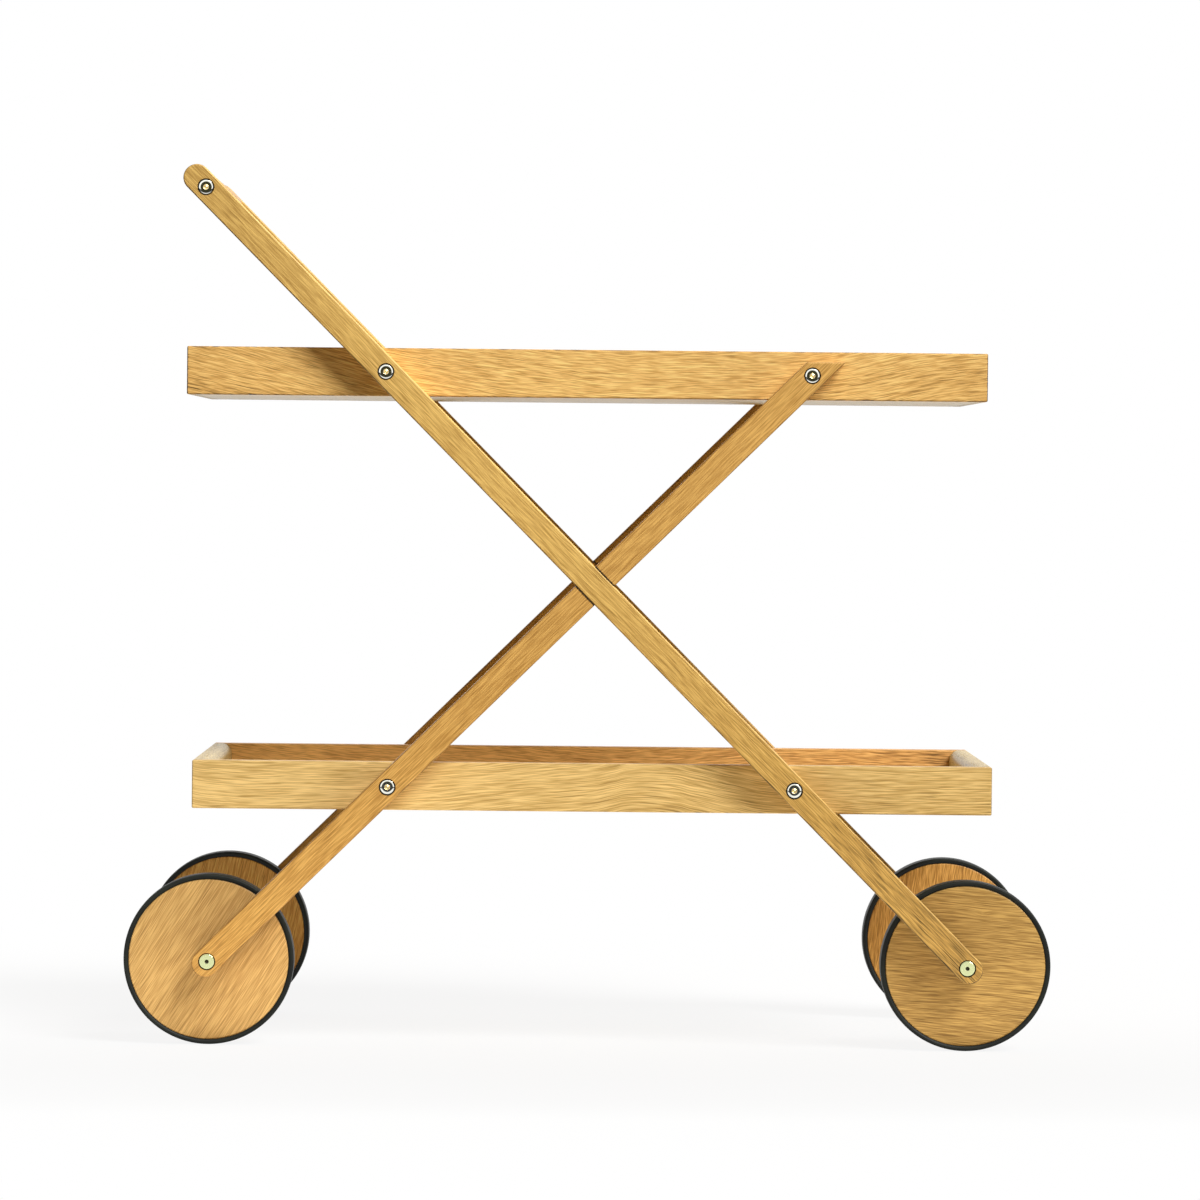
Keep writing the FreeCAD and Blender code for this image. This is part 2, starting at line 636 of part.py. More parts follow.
# The axles: a rod from bar to bar with a groove for each retaining ring and a tapped
# hole in each end
def make_axle(end):
    """One axle, turned about its own line, the same both ways from its middle."""
    body = new_body(f"axle_{end}", x=f"{ENDS[end]} * {AXLE_REACH}", z=TYRE_RADIUS)
    radius = "Sizes.axle_diameter / 2"
    groove = f"({radius} - Sizes.ring_depth)"
    tapped = "(Sizes.cap_thread_diameter / 2 + Sizes.fixed_clearance)"
    tapped_end = f"({AXLE_HALF} - Sizes.cap_thread_length - Sizes.hole_end_gap)"
    ring_out = f"({RING_PLACE} + Sizes.ring_thickness / 2 + Sizes.fixed_clearance)"
    ring_in = f"({RING_PLACE} - Sizes.ring_thickness / 2 - Sizes.fixed_clearance)"
    half_profile = [
        (radius, ring_in),
        (groove, ring_in),
        (groove, ring_out),
        (radius, ring_out),
        (radius, AXLE_HALF),
        (tapped, AXLE_HALF),
        (tapped, tapped_end),
        ("0", tapped_end),
    ]
    mirrored = [(x, f"-{y}") for x, y in reversed(half_profile)]
    sketch = new_sketch(body, "XY_Plane")
    draw_outline(sketch, half_profile + mirrored)
    revolve(body, sketch)
    return keep(body)


for end in ENDS:
    make_axle(end)


# Small pieces on the axles, made once and copied: each is drawn at the origin with its
# axis along Y and its outer side towards -Y
def make_sleeve(label, inner, outer, length):
    """A plain round sleeve about the Y axis."""
    body = new_body(label)
    sketch = new_sketch(body, "XY_Plane")
    draw_outline(sketch, box_corners(inner, outer, f"-{length} / 2", f"{length} / 2"))
    revolve(body, sketch)
    return body


def spot(x, y, z, turned=False):
    """A placement at three expressions, turned half round the Z axis where asked."""
    rotation = FreeCAD.Rotation(FreeCAD.Vector(0, 0, 1), HALF_TURN if turned else 0)
    return FreeCAD.Placement(FreeCAD.Vector(measure(x), measure(y), measure(z)), rotation)


def side_spots(places, reach, height):
    """Placements on both sides at each place along X, their outer side facing outwards."""
    return [
        spot(place, f"{way} * {reach}", height, turned=way > 0)
        for place in places
        for way in SIDES.values()
    ]


def hexagon(across_flats):
    """The corners of a hexagon about the origin."""
    reach = f"({across_flats} / 2 / cos({HEXAGON_TURN} / 2))"
    turns = range(0, FULL_TURN, HEXAGON_TURN)
    return [(f"{reach} * cos({turn})", f"{reach} * sin({turn})") for turn in turns]


def make_bolt(label, head, height, shank, length, socket, socket_depth, edge_size, kind):
    """A bolt along Y: the head's seat at the origin, the head towards -Y."""
    body = new_body(label)
    sketch = new_sketch(body, "XZ_Plane")
    draw_circles(sketch, [("0", "0")], f"{head} / 2")
    top = pad(body, sketch, height)
    rim = f"-{height}"
    soften(body, top, edge_size, lambda edge: at_plane(edge, "Y", rim), kind=kind)
    sketch = new_sketch(body, "XZ_Plane")
    draw_circles(sketch, [("0", "0")], f"{shank} / 2")
    pad(body, sketch, length, turned=True)
    sketch = new_sketch(body, "XZ_Plane", lift=height)
    draw_outline(sketch, hexagon(socket))
    cut(body, sketch, socket_depth)
    return body


spacer = make_sleeve("spacer_pattern", AXLE_SEAT, "Sizes.spacer_diameter / 2", SPACER_LENGTH)
washer = make_sleeve("washer_pattern", AXLE_SEAT, "Sizes.washer_diameter / 2", "Sizes.washer_thickness")
insert = make_sleeve("insert_pattern", BOLT_BORE, "Sizes.insert_diameter / 2", "Sizes.insert_length")

ring = new_body("ring_pattern")
sketch = new_sketch(ring, "XZ_Plane")
ring_outer = f"({RING_INNER} + Sizes.ring_width)"
draw_circles(sketch, [("0", "0")], ring_outer)
draw_circles(sketch, [("0", "0")], RING_INNER)
pad(ring, sketch, "Sizes.ring_thickness", both_ways=True)
sketch = new_sketch(ring, "XZ_Plane", lift="-Sizes.ring_thickness")
half_opening = "Sizes.ring_opening / 2"
draw_outline(sketch, box_corners(f"-{half_opening}", half_opening, f"-2 * {ring_outer}", "0"))
cut(ring, sketch, "2 * Sizes.ring_thickness", turned=True)

bolt = make_bolt(
    "bolt_pattern",
    "Sizes.bolt_head_diameter",
    "Sizes.bolt_head_height",
    "Sizes.bolt_thread_diameter",
    BOLT_LENGTH,
    "Sizes.bolt_socket",
    "Sizes.bolt_socket_depth",
    "Sizes.bolt_head_round",
    "Fillet",
)
cap = make_bolt(
    "cap_pattern",
    "Sizes.cap_diameter",
    "Sizes.cap_thickness",
    "Sizes.cap_thread_diameter",
    "Sizes.cap_thread_length + Sizes.axle_recess",
    "Sizes.cap_socket",
    "Sizes.cap_socket_depth",
    "Sizes.cap_bevel",
    "Chamfer",
)

dowel = new_body("dowel_pattern")
sketch = new_sketch(dowel, "XZ_Plane")
draw_circles(sketch, [("0", "0")], "Sizes.dowel_diameter / 2")
pad(dowel, sketch, "Sizes.dowel_in_board")
sketch = new_sketch(dowel, "XZ_Plane")
draw_circles(sketch, [("0", "0")], "Sizes.dowel_diameter / 2")
pad(dowel, sketch, "Sizes.dowel_in_end", turned=True)

screw = new_body("screw_pattern")
sketch = new_sketch(screw, "XZ_Plane")
head_depth = "((Sizes.screw_head_diameter - Sizes.screw_diameter) / 2)"
shank = "Sizes.screw_diameter / 2"
draw_outline(
    sketch,
    [
        ("0", "0"),
        ("Sizes.screw_head_diameter / 2 - Sizes.fixed_clearance", "0"),
        (shank, head_depth),
        (shank, "Sizes.screw_length - Sizes.screw_point"),
        ("0", "Sizes.screw_length"),
    ],
)
revolve(screw, sketch)

axle_places = [f"{end} * {AXLE_REACH}" for end in ENDS.values()]
spacer_place = f"({HALF_TRAY} - {SPACER_LENGTH} / 2)"
cap_seat = f"({HALF_TRAY} + Sizes.bar_thickness - Sizes.cap_hole_depth)"
group("axle_spacers", spacer, side_spots(axle_places, spacer_place, TYRE_RADIUS))
group("axle_washers", washer, side_spots(axle_places, WASHER_PLACE, TYRE_RADIUS))
group("axle_retaining_rings", ring, side_spots(axle_places, RING_PLACE, TYRE_RADIUS))
group("axle_cap_bolts", cap, side_spots(axle_places, cap_seat, TYRE_RADIUS))

bolt_seat = f"({HALF_TRAY} + Sizes.bar_thickness - Sizes.counterbore_depth)"
insert_place = f"({HALF_TRAY} - Sizes.insert_length / 2)"
dowel_seat = f"({HALF_TRAY} - Sizes.board_thickness)"
for tray in TRAYS:
    middle, floor = tray_middle(tray), tray_floor(tray)
    group(f"{tray}_bolts", bolt, side_spots(bolt_places(tray), bolt_seat, bolt_height(tray)))
    group(f"{tray}_inserts", insert, side_spots(bolt_places(tray), insert_place, bolt_height(tray)))
    dowel_spots = [
        spot(f"{x} + {middle}", f"{way} * {dowel_seat}", f"{z} + {floor}", turned=way > 0)
        for x, z in dowel_centres()
        for way in SIDES.values()
    ]
    group(f"{tray}_dowels", dowel, dowel_spots)
    screw_spots = [spot(f"{x} + {middle}", y, floor) for x, y in screw_centres()]
    group(f"{tray}_bottom_screws", screw, screw_spots)
group("handle_bolts", bolt, side_spots([HANDLE_PLACE], bolt_seat, HANDLE_HEIGHT))
group("handle_inserts", insert, side_spots([HANDLE_PLACE], insert_place, HANDLE_HEIGHT))

# Every object has to be sound before anything is written
doc.recompute()
for item in doc.Objects:
    if "Invalid" in item.State or "Error" in item.State:
        raise ValueError(f"{item.Label} failed: {item.State}")
for item in nodes:
    if item.Shape.isNull() or not item.Shape.isValid():
        raise ValueError(f"{item.Label} has no sound shape")

os.makedirs("parts", exist_ok=True)
for item in nodes:
    item.Shape.exportStep(f"parts/{item.Label}.step")
print(f"{len(nodes)} nodes")
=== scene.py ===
import bpy
import math
import numpy as np
from mathutils import Matrix, Vector


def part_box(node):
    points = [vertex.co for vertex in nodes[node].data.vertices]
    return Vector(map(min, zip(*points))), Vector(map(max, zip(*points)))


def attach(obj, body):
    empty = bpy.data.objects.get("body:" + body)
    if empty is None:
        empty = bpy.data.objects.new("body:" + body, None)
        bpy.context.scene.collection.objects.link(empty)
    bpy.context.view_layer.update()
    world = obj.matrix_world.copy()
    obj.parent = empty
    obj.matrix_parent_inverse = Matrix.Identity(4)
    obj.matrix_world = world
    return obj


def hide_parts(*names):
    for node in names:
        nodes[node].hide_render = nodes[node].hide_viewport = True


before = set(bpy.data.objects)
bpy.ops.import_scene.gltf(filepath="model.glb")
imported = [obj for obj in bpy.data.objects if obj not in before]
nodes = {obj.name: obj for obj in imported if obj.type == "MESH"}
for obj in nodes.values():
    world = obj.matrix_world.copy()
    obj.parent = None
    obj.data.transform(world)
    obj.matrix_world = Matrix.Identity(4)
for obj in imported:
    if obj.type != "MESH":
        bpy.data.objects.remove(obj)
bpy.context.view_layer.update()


# The view: the photograph's camera, a long lens six and a half metres away, just above
# the middle of the trolley, turned a touch to the right, down and clockwise.
CAMERA_PLACE = Vector((-0.0265, -6.473, 0.5512))
CAMERA_TURN = math.radians(0.324)
CAMERA_DIP = math.radians(1.078)
CAMERA_ROLL = math.radians(0.564)
LENS_MM = 194.97
SENSOR_MM = 36.0
SIGHT_END = 100.0

ahead = Vector(
    (
        math.sin(CAMERA_TURN) * math.cos(CAMERA_DIP),
        math.cos(CAMERA_TURN) * math.cos(CAMERA_DIP),
        -math.sin(CAMERA_DIP),
    )
)
level_right = Vector((math.cos(CAMERA_TURN), -math.sin(CAMERA_TURN), 0))
level_up = level_right.cross(ahead)
right = math.cos(CAMERA_ROLL) * level_right + math.sin(CAMERA_ROLL) * level_up
up = right.cross(ahead)
camera_data = bpy.data.cameras.new("camera")
camera_data.lens = LENS_MM
camera_data.sensor_width = SENSOR_MM
camera_data.clip_end = SIGHT_END
camera = bpy.data.objects.new("camera", camera_data)
camera.matrix_world = Matrix.Translation(CAMERA_PLACE) @ Matrix((right, up, -ahead)).transposed().to_4x4()
bpy.context.scene.collection.objects.link(camera)
bpy.context.scene.camera = camera


# The long bars: one oak rail on each side, 26 mm square, from the handle down to the far
# axle. They are planed, rounded a little on every edge, oiled, and halved at the crossing.
LONG_BAR_SLOPE = math.radians(45.2)
LONG_BAR_OAK = {
    "light": (233, 193, 111),
    "dark": (191, 150, 78),
    "ring": 0.0030,
    "lay": math.radians(25),
    "wave": 0.002,
    "wobble": 0.0004,
    "contrast": 0.8,
    "drift": 0.5,
    "bow": 1.0,
    "broad": 0.12,
    "fine": 1.3,
    "stretch": 2.3,
    # Painted shade on the edges, and a painted highlight along the upper edge.
    "edge_shade": 0.7,
    "edge_highlight": -0.6,
}
# The far bars' oak is drawn darker than the near bars': painted shade.
FAR_BAR_SHADE = 0.92
CROSSING_MM = (3.9, 447.0)
BAR_SECTION = (1.0, 0.013, 0.013)
LONG_BAR_BORES_MM = ((-372.93, 826.4), (-198.75, 651.0), (197.5, 252.0), (365.79, 82.5))
MM = 0.001

# Oak's marks: repeats in a metre along, across and through the grain, the noise's detail
# and roughness, and the two of its levels between which a mark fades in. Then each mark's
# share of the tone, and the tone that they have together on average.
BANDS = ((2.2, 14, 42), 2.0, 0.5, 0.3, 0.7)
STROKES = ((24, 150, 420), 2.0, 0.5, 0.34, 0.66)
FIBRES = ((64, 620, 1000), 2.0, 0.6, 0.3, 0.7)
FLECKS = ((110, 1000, 1400), 1.0, 0.5, 0.33, 0.67)
PORES = ((110, 1100, 1500), 1.0, 0.5, 0.5, 0.66)
STROKE_SHARE = 0.05
FIBRE_SHARE = 0.50
FLECK_SHARE = 0.70
EARLY_SHARE = 0.10
PORE_SHARE = 0.12
AVERAGE_TONE = 0.68
AVERAGE_BANDS = 0.5
MIDDLE_TONE = 0.5

# The grain's slow and quick bends, in repeats in a metre, the noise's middle, a knot's
# reach along, across and through the board, and the rings: how they wander, where in a
# ring the early wood starts and ends, and how many of the pores lie in it and outside it.
SLOW_BEND = (7, 22, 22)
QUICK_BEND = (48, 170, 170)
NOISE_MIDDLE = (0.5, 0.5, 0.5)
KNOT_REACH = (0.4, 0, 1)
RING_WANDER = 0.4
RING_UNEVEN = 2.5
EARLY_FULL = 0.1
EARLY_END = 0.7
EARLY_PORES = 0.7
LATE_PORES = 0.3

# Tones and places, in metres, of the end grain, the arrises' painted shade, the seams
# and the painted shade round the bores' rims.
END_GRAIN_TONE = 0.55
END_GRAIN_START = 0.3
END_GRAIN_FULL = 0.85
LINE_TONE = 1.3
ARRIS_FULL = 0.0004
ARRIS_END = 0.0014
SEAM_FULL = 0.0005
SEAM_END = 0.0013
BORE_FULL = 0.0078
BORE_END = 0.0084

# The tone's colours: a place, which of the oak's colours it has, and how bright that is.
TONE_SPAN = 1.6
TONE_STOPS = ((0.0, 0, 1.06), (0.2, 0, 1.0), (0.5, 1, 1.0), (0.8, 2, 1.0), (1.1, 2, 0.84), (1.6, 2, 0.22))
PORE_ROUGHNESS = 0.25
STROKE_DIP = 0.3
GRAIN_STRENGTH = 0.2
GRAIN_DEPTH = 0.0001


def pigment(colour):
    """A colour measured in 0-255 screen values as the linear colour that a shader takes:
    each channel's share of 255, unbent by the screen's power law."""
    share = np.array(colour, float) / 255.0
    low = share / 12.92
    high = ((share + 0.055) / 1.055) ** 2.4
    return (*np.where(share <= 0.04045, low, high).tolist(), 1.0)


def wiring(tree):
    """A function that adds a node: inputs are values or sockets to wire in, out is the
    output that it gives back, and settings are the node's own."""

    def add(kind, inputs=None, out=0, **settings):
        item = tree.nodes.new(kind)
        for key, value in settings.items():
            setattr(item, key, value)
        for key, value in (inputs or {}).items():
            if isinstance(value, bpy.types.NodeSocket):
                tree.links.new(value, item.inputs[key])
            else:
                item.inputs[key].default_value = value
        return item.outputs[out]

    return add


def fade(add, value, start, end, first=0.0, last=1.0, shape="SMOOTHSTEP"):
    """Goes from first to last while the value goes from start to end."""
    ends = {"Value": value, "From Min": start, "From Max": end, "To Min": first, "To Max": last}
    return add("ShaderNodeMapRange", ends, interpolation_type=shape)


def blank(name):
    """A new node material, its nodes, its shader and a function that adds nodes."""
    material = bpy.data.materials.new(name)
    material.use_nodes = True
    tree = material.node_tree
    return material, tree, tree.nodes["Principled BSDF"], wiring(tree)


def shade_by(tree, factor, stops):
    """A colour ramp along the factor: stops are (place, colour in screen values)."""
    ramp = tree.nodes.new("ShaderNodeValToRGB")
    tree.links.new(factor, ramp.inputs["Fac"])
    elements = ramp.color_ramp.elements
    while len(elements) < len(stops):
        elements.new(0.5)
    for element, (place, colour) in zip(elements, stops):
        element.position = place
        element.color = pigment(colour)
    return ramp.outputs["Color"]


def oak(
    name,
    node,
    light,
    dark,
    seed,
    along="x",
    slope=0.0,
    rise=(),
    lay=0.35,
    pith=0.30,
    ring=0.003,
    wave=0.003,
    wobble=0.0008,
    contrast=1.0,
    drift=0.0,
    bow=0.0,
    broad=0.16,
    fine=1.0,
    stretch=1.0,
    knots=(),
    edge_shade=0.0,
    edge_highlight=None,
    axis_off=0.0,
    section=(),
    seams=(),
    bores=(),
    gloss=0.3,
    shine=0.40,
):
    """Sawn oak as a solid pattern. The object's coordinates are centred on the piece and
    turned so that x runs with the grain. The grain's rise, (place, level) in mm along the
    board, two noises, wave and wobble, and the knots bend the pattern. Depth through the
    rings is height x cos(lay) + thickness x sin(lay), plus the square of the distance
    across over twice the distance to the pith. Rings are that depth over the ring width.
    Noises drawn out along the grain make broad bands, strokes, fibres, flecks and pores,
    the pores mostly where a ring begins. Fine is how much closer they lie, and stretch how
    much longer they run. Their sum, times the contrast, plus drift times x and bow times
    the square of x, is the tone between light and dark. The pores are rougher and lower.
    End grain is darker. The arrises, where the second smallest of the distances to the
    section's faces is small, are darker too: painted shade. The section's axis lies
    axis_off above the middle, and arrises above it take their own tone where one is given:
    a painted highlight. Seams are dark lines at places along x, and bores are dark rims
    of painted shade round places (x, z). Gloss is the specular level and shine the
    roughness between the pores."""
    material, tree, shader, add = blank(name)
    low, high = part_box(node)
    middle = (low + high) / 2
    turn = {"x": (0, slope, 0), "y": (0, 0, math.pi / 2)}[along]
    half = (high - low).length / 2

    place = add("ShaderNodeTexCoord", out="Object")
    centred = {"Vector": place, "Location": middle, "Rotation": turn}
    own = add("ShaderNodeMapping", centred, vector_type="TEXTURE")
    x, y, height = add("ShaderNodeSeparateXYZ", {0: own}, out=slice(None))
    z = height
    if rise:
        levels = [level * MM for _, level in rise]
        lowest, highest = min(levels), max(levels)
        share = fade(add, x, -half, half, shape="LINEAR")
        curve = tree.nodes.new("ShaderNodeFloatCurve")
        tree.links.new(share, curve.inputs["Value"])
        line = curve.mapping.curves[0]
        points = [
            (0.5 + spot * MM / half / 2, (level - lowest) / (highest - lowest))
            for (spot, _), level in zip(rise, levels)
        ]
        line.points[0].location = points[0]
        line.points[1].location = points[-1]
        for point in points[1:-1]:
            line.points.new(*point)
        curve.mapping.update()
        drop = fade(add, curve.outputs[0], 0.0, 1.0, -lowest, -highest, "LINEAR")
        z = add("ShaderNodeMath", {0: height, 1: drop}, operation="ADD")
    straight = add("ShaderNodeCombineXYZ", {0: x, 1: y, 2: z})

    bent = straight
    for scale, reach in ((SLOW_BEND, wave), (QUICK_BEND, wobble)):
        spread = add("ShaderNodeMapping", {"Vector": straight, "Location": seed, "Scale": scale})
        noise = add("ShaderNodeTexNoise", {"Vector": spread, "Scale": 1.0, "Detail": 1.0}, out="Color")
        swing = add("ShaderNodeVectorMath", {0: noise, 1: NOISE_MIDDLE}, operation="SUBTRACT")
        both_ways = (0, 2 * reach, 2 * reach)
        bent = add("ShaderNodeVectorMath", {0: swing, 1: both_ways, 2: bent}, operation="MULTIPLY_ADD")
    for spot, size, push in knots:
        offset = add("ShaderNodeVectorMath", {0: straight, 1: spot}, operation="SUBTRACT")
        flat = add("ShaderNodeVectorMath", {0: offset, 1: KNOT_REACH}, operation="MULTIPLY")
        distance = add("ShaderNodeVectorMath", {0: flat}, out="Value", operation="LENGTH")
        near = add("ShaderNodeMath", {0: distance, 1: -1.0 / size}, operation="MULTIPLY")
        bell = add("ShaderNodeMath", {0: math.e, 1: near}, operation="POWER")
        lift = add("ShaderNodeVectorMath", {0: (0, 0, push), "Scale": bell}, operation="SCALE")
        bent = add("ShaderNodeVectorMath", {0: bent, 1: lift}, operation="ADD")
    laid = add("ShaderNodeMapping", {"Vector": bent, "Rotation": (lay, 0, 0)})
    along_grain, across, through = add("ShaderNodeSeparateXYZ", {0: laid}, out=slice(None))
    square = add("ShaderNodeMath", {0: across, 1: across}, operation="MULTIPLY")
    depth = add("ShaderNodeMath", {0: square, 1: 0.5 / pith, 2: through}, operation="MULTIPLY_ADD")
    flow = add("ShaderNodeCombineXYZ", {0: along_grain, 1: across, 2: depth})

    def drawn(mark, closer=1.0, longer=1.0):
        """Noise drawn out along the grain, spread from 0 to 1 between two of its levels."""
        (lengthwise, sideways, inwards), detail, rough, low_level, high_level = mark
        scale = (lengthwise * closer / longer, sideways * closer, inwards * closer)
        placed = add("ShaderNodeMapping", {"Vector": flow, "Location": seed, "Scale": scale})
        settings = {"Vector": placed, "Scale": 1.0, "Detail": detail, "Roughness": rough}
        return fade(add, add("ShaderNodeTexNoise", settings), low_level, high_level)

    bands = drawn(BANDS)
    strokes = drawn(STROKES, fine, stretch)
    fibres = drawn(FIBRES, fine, stretch)
    flecks = drawn(FLECKS, longer=stretch)
    pores = drawn(PORES, longer=stretch)

    count = add("ShaderNodeMath", {0: depth, 1: ring}, operation="DIVIDE")
    wander = {"W": count, "Scale": RING_WANDER, "Detail": 1.0}
    uneven = add("ShaderNodeTexNoise", wander, noise_dimensions="1D")
    spot_in_ring = add("ShaderNodeMath", {0: uneven, 1: RING_UNEVEN, 2: count}, operation="MULTIPLY_ADD")
    phase = add("ShaderNodeMath", {0: spot_in_ring}, operation="FRACT")
    fading = fade(add, phase, EARLY_FULL, EARLY_END, 1.0, 0.0)
    onset = fade(add, phase, 0.0, EARLY_FULL)
    early = add("ShaderNodeMath", {0: fading, 1: onset}, operation="MULTIPLY")
    porous = add("ShaderNodeMath", {0: early, 1: EARLY_PORES, 2: LATE_PORES}, operation="MULTIPLY_ADD")
    marks = add("ShaderNodeMath", {0: pores, 1: porous}, operation="MULTIPLY")
    base = MIDDLE_TONE - (AVERAGE_TONE + AVERAGE_BANDS * broad) * contrast
    tone = add("ShaderNodeMath", {0: x, 1: drift, 2: base}, operation="MULTIPLY_ADD")
    if bow:
        square_x = add("ShaderNodeMath", {0: x, 1: x}, operation="MULTIPLY")
        tone = add("ShaderNodeMath", {0: square_x, 1: bow, 2: tone}, operation="MULTIPLY_ADD")
    layers = (
        (early, EARLY_SHARE),
        (strokes, STROKE_SHARE),
        (fibres, FIBRE_SHARE),
        (flecks, FLECK_SHARE),
        (bands, broad),
        (marks, PORE_SHARE),
    )
    for layer, weight in layers:
        tone = add("ShaderNodeMath", {0: layer, 1: weight * contrast, 2: tone}, operation="MULTIPLY_ADD")

    upright = add("ShaderNodeTexCoord", out="Normal")
    facing = add("ShaderNodeMapping", {"Vector": upright, "Rotation": turn}, vector_type="TEXTURE")
    endwise = add("ShaderNodeSeparateXYZ", {0: facing})
    end_on = add("ShaderNodeMath", {0: endwise}, operation="ABSOLUTE")
    end_grain = fade(add, end_on, END_GRAIN_START, END_GRAIN_FULL, 0.0, END_GRAIN_TONE)
    tone = add("ShaderNodeMath", {0: tone, 1: end_grain}, operation="ADD")
    # Painted shade on the arrises, and above the axis a painted highlight where a tone is given for it.
    if edge_shade:
        gaps = []
        level = add("ShaderNodeMath", {0: height, 1: axis_off}, operation="SUBTRACT")
        for place_along, half_size in zip((x, y, level), section):
            size = add("ShaderNodeMath", {0: place_along}, operation="ABSOLUTE")
            gaps.append(add("ShaderNodeMath", {0: half_size, 1: size}, operation="SUBTRACT"))
        least = add("ShaderNodeMath", {0: gaps[0], 1: gaps[1]}, operation="MINIMUM")
        most = add("ShaderNodeMath", {0: gaps[0], 1: gaps[1]}, operation="MAXIMUM")
        rest = add("ShaderNodeMath", {0: most, 1: gaps[2]}, operation="MINIMUM")
        second = add("ShaderNodeMath", {0: least, 1: rest}, operation="MAXIMUM")
        edge = fade(add, second, ARRIS_FULL, ARRIS_END, edge_shade, 0.0)
        if edge_highlight is not None:
            above = add("ShaderNodeMath", {0: level, 1: 0.0}, operation="GREATER_THAN")
            edge_share = add("ShaderNodeMath", {0: edge, 1: 1 / edge_shade}, operation="MULTIPLY")
            chosen = add("ShaderNodeMix", {"Factor": above, 2: edge_shade, 3: edge_highlight})
            edge = add("ShaderNodeMath", {0: edge_share, 1: chosen}, operation="MULTIPLY")
        tone = add("ShaderNodeMath", {0: tone, 1: edge}, operation="ADD")
    for seam in seams:
        past = add("ShaderNodeMath", {0: x, 1: seam}, operation="SUBTRACT")
        off = add("ShaderNodeMath", {0: past}, operation="ABSOLUTE")
        line = fade(add, off, SEAM_FULL, SEAM_END, LINE_TONE, 0.0, "LINEAR")
        tone = add("ShaderNodeMath", {0: tone, 1: line}, operation="ADD")
    # Painted shade: a dark ring round each bolt's seat.
    flat_place = add("ShaderNodeCombineXYZ", {0: x, 2: height})
    for bore_x, bore_z in bores:
        apart = {0: flat_place, 1: (bore_x, 0, bore_z)}
        distance = add("ShaderNodeVectorMath", apart, out="Value", operation="DISTANCE")
        rim = fade(add, distance, BORE_FULL, BORE_END, LINE_TONE, 0.0, "LINEAR")
        tone = add("ShaderNodeMath", {0: tone, 1: rim}, operation="ADD")
    tone = add("ShaderNodeMath", {0: tone, 1: 1 / TONE_SPAN}, operation="MULTIPLY")
    colours = (light, tuple((a + b) / 2 for a, b in zip(light, dark)), dark)
    stops = [
        (spot / TONE_SPAN, tuple(min(255, bright * channel) for channel in colours[number]))
        for spot, number, bright in TONE_STOPS
    ]
    tree.links.new(shade_by(tree, tone, stops), shader.inputs["Base Color"])

    rough = add("ShaderNodeMath", {0: marks, 1: PORE_ROUGHNESS, 2: shine}, operation="MULTIPLY_ADD")
    tree.links.new(rough, shader.inputs["Roughness"])
    shader.inputs["Specular IOR Level"].default_value = gloss
    dip = add("ShaderNodeMath", {0: strokes, 1: STROKE_DIP, 2: marks}, operation="MULTIPLY_ADD")
    grain = {"Height": dip, "Strength": GRAIN_STRENGTH, "Distance": GRAIN_DEPTH}
    tree.links.new(add("ShaderNodeBump", grain, invert=True), shader.inputs["Normal"])
    return material


def dress(node, material):
    """Gives a carried-over CAD node its material."""
    for item in nodes[node].material_slots:
        item.material = material


def own_places(node, slope, places):
    """Places in the trolley's x and z, in mm, as places along and across the piece."""
    low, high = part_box(node)
    middle = (low + high) / 2
    grain = Vector((math.cos(slope), 0, -math.sin(slope)))
    across = Vector((math.sin(slope), 0, math.cos(slope)))
    found = [Vector((x * MM, middle.y, z * MM)) - middle for x, z in places]
    return tuple((spot.dot(grain), spot.dot(across)) for spot in found)


def darker(look):
    """The same oak, darker: painted shade for the far bars."""
    shaded = {key: tuple(FAR_BAR_SHADE * channel for channel in look[key]) for key in ("light", "dark")}
    return {**look, **shaded}


for number, side in enumerate(("near", "far")):
    node = f"long_bar_{side}"
    dress(
        node,
        oak(
            f"long_bar_oak_{side}",
            node,
            seed=(3.0 + number, 1.5, 7.0),
            slope=LONG_BAR_SLOPE,
            section=BAR_SECTION,
            axis_off=own_places(node, LONG_BAR_SLOPE, (CROSSING_MM,))[0][1],
            bores=own_places(node, LONG_BAR_SLOPE, LONG_BAR_BORES_MM),
            **(LONG_BAR_OAK if side == "near" else darker(LONG_BAR_OAK)),
        ),
    )


# The short bars: the same oak, a warmer board, from the lower axle up to the upper tray,
# where they are sawn off level. The long bar laps over them on the outer side.
SHORT_BAR_SLOPE = math.radians(-44.6)
SHORT_BAR_OAK = {
    "light": (223, 176, 98),
    "dark": (184, 136, 67),
    "ring": 0.0026,
    "lay": math.radians(20),
    "wave": 0.0015,
    "wobble": 0.0003,
    "contrast": 0.8,
    "drift": -0.3,
    "broad": 0.12,
    "fine": 1.3,
    "stretch": 2.3,
    # Painted shade on the edges.
    "edge_shade": 0.5,
}
SHORT_BAR_BORES_MM = ((210.7, 651.0), (-193.9, 252.0), (-365.79, 82.5))
LAP_HALF = 0.0133

for number, side in enumerate(("near", "far")):
    node = f"short_bar_{side}"
    lap, off = own_places(node, SHORT_BAR_SLOPE, (CROSSING_MM,))[0]
    dress(
        node,
        oak(
            f"short_bar_oak_{side}",
            node,
            seed=(9.0 + number, 4.5, 2.0),
            slope=SHORT_BAR_SLOPE,
            section=BAR_SECTION,
            axis_off=off,
            seams=(lap - LAP_HALF, lap + LAP_HALF),
            bores=own_places(node, SHORT_BAR_SLOPE, SHORT_BAR_BORES_MM),
            **(SHORT_BAR_OAK if side == "near" else darker(SHORT_BAR_OAK)),
        ),
    )


# The handle: a turned oak rail between the tops of the long bars, held by a bolt at
# each end.
HANDLE_OAK = {
    "light": (224, 180, 106),
    "dark": (182, 130, 64),
    "ring": 0.0028,
    "lay": math.radians(40),
    "wave": 0.002,
}

dress("handle_rail", oak("handle_oak", "handle_rail", seed=(5.0, 8.0, 1.0), along="y", **HANDLE_OAK))


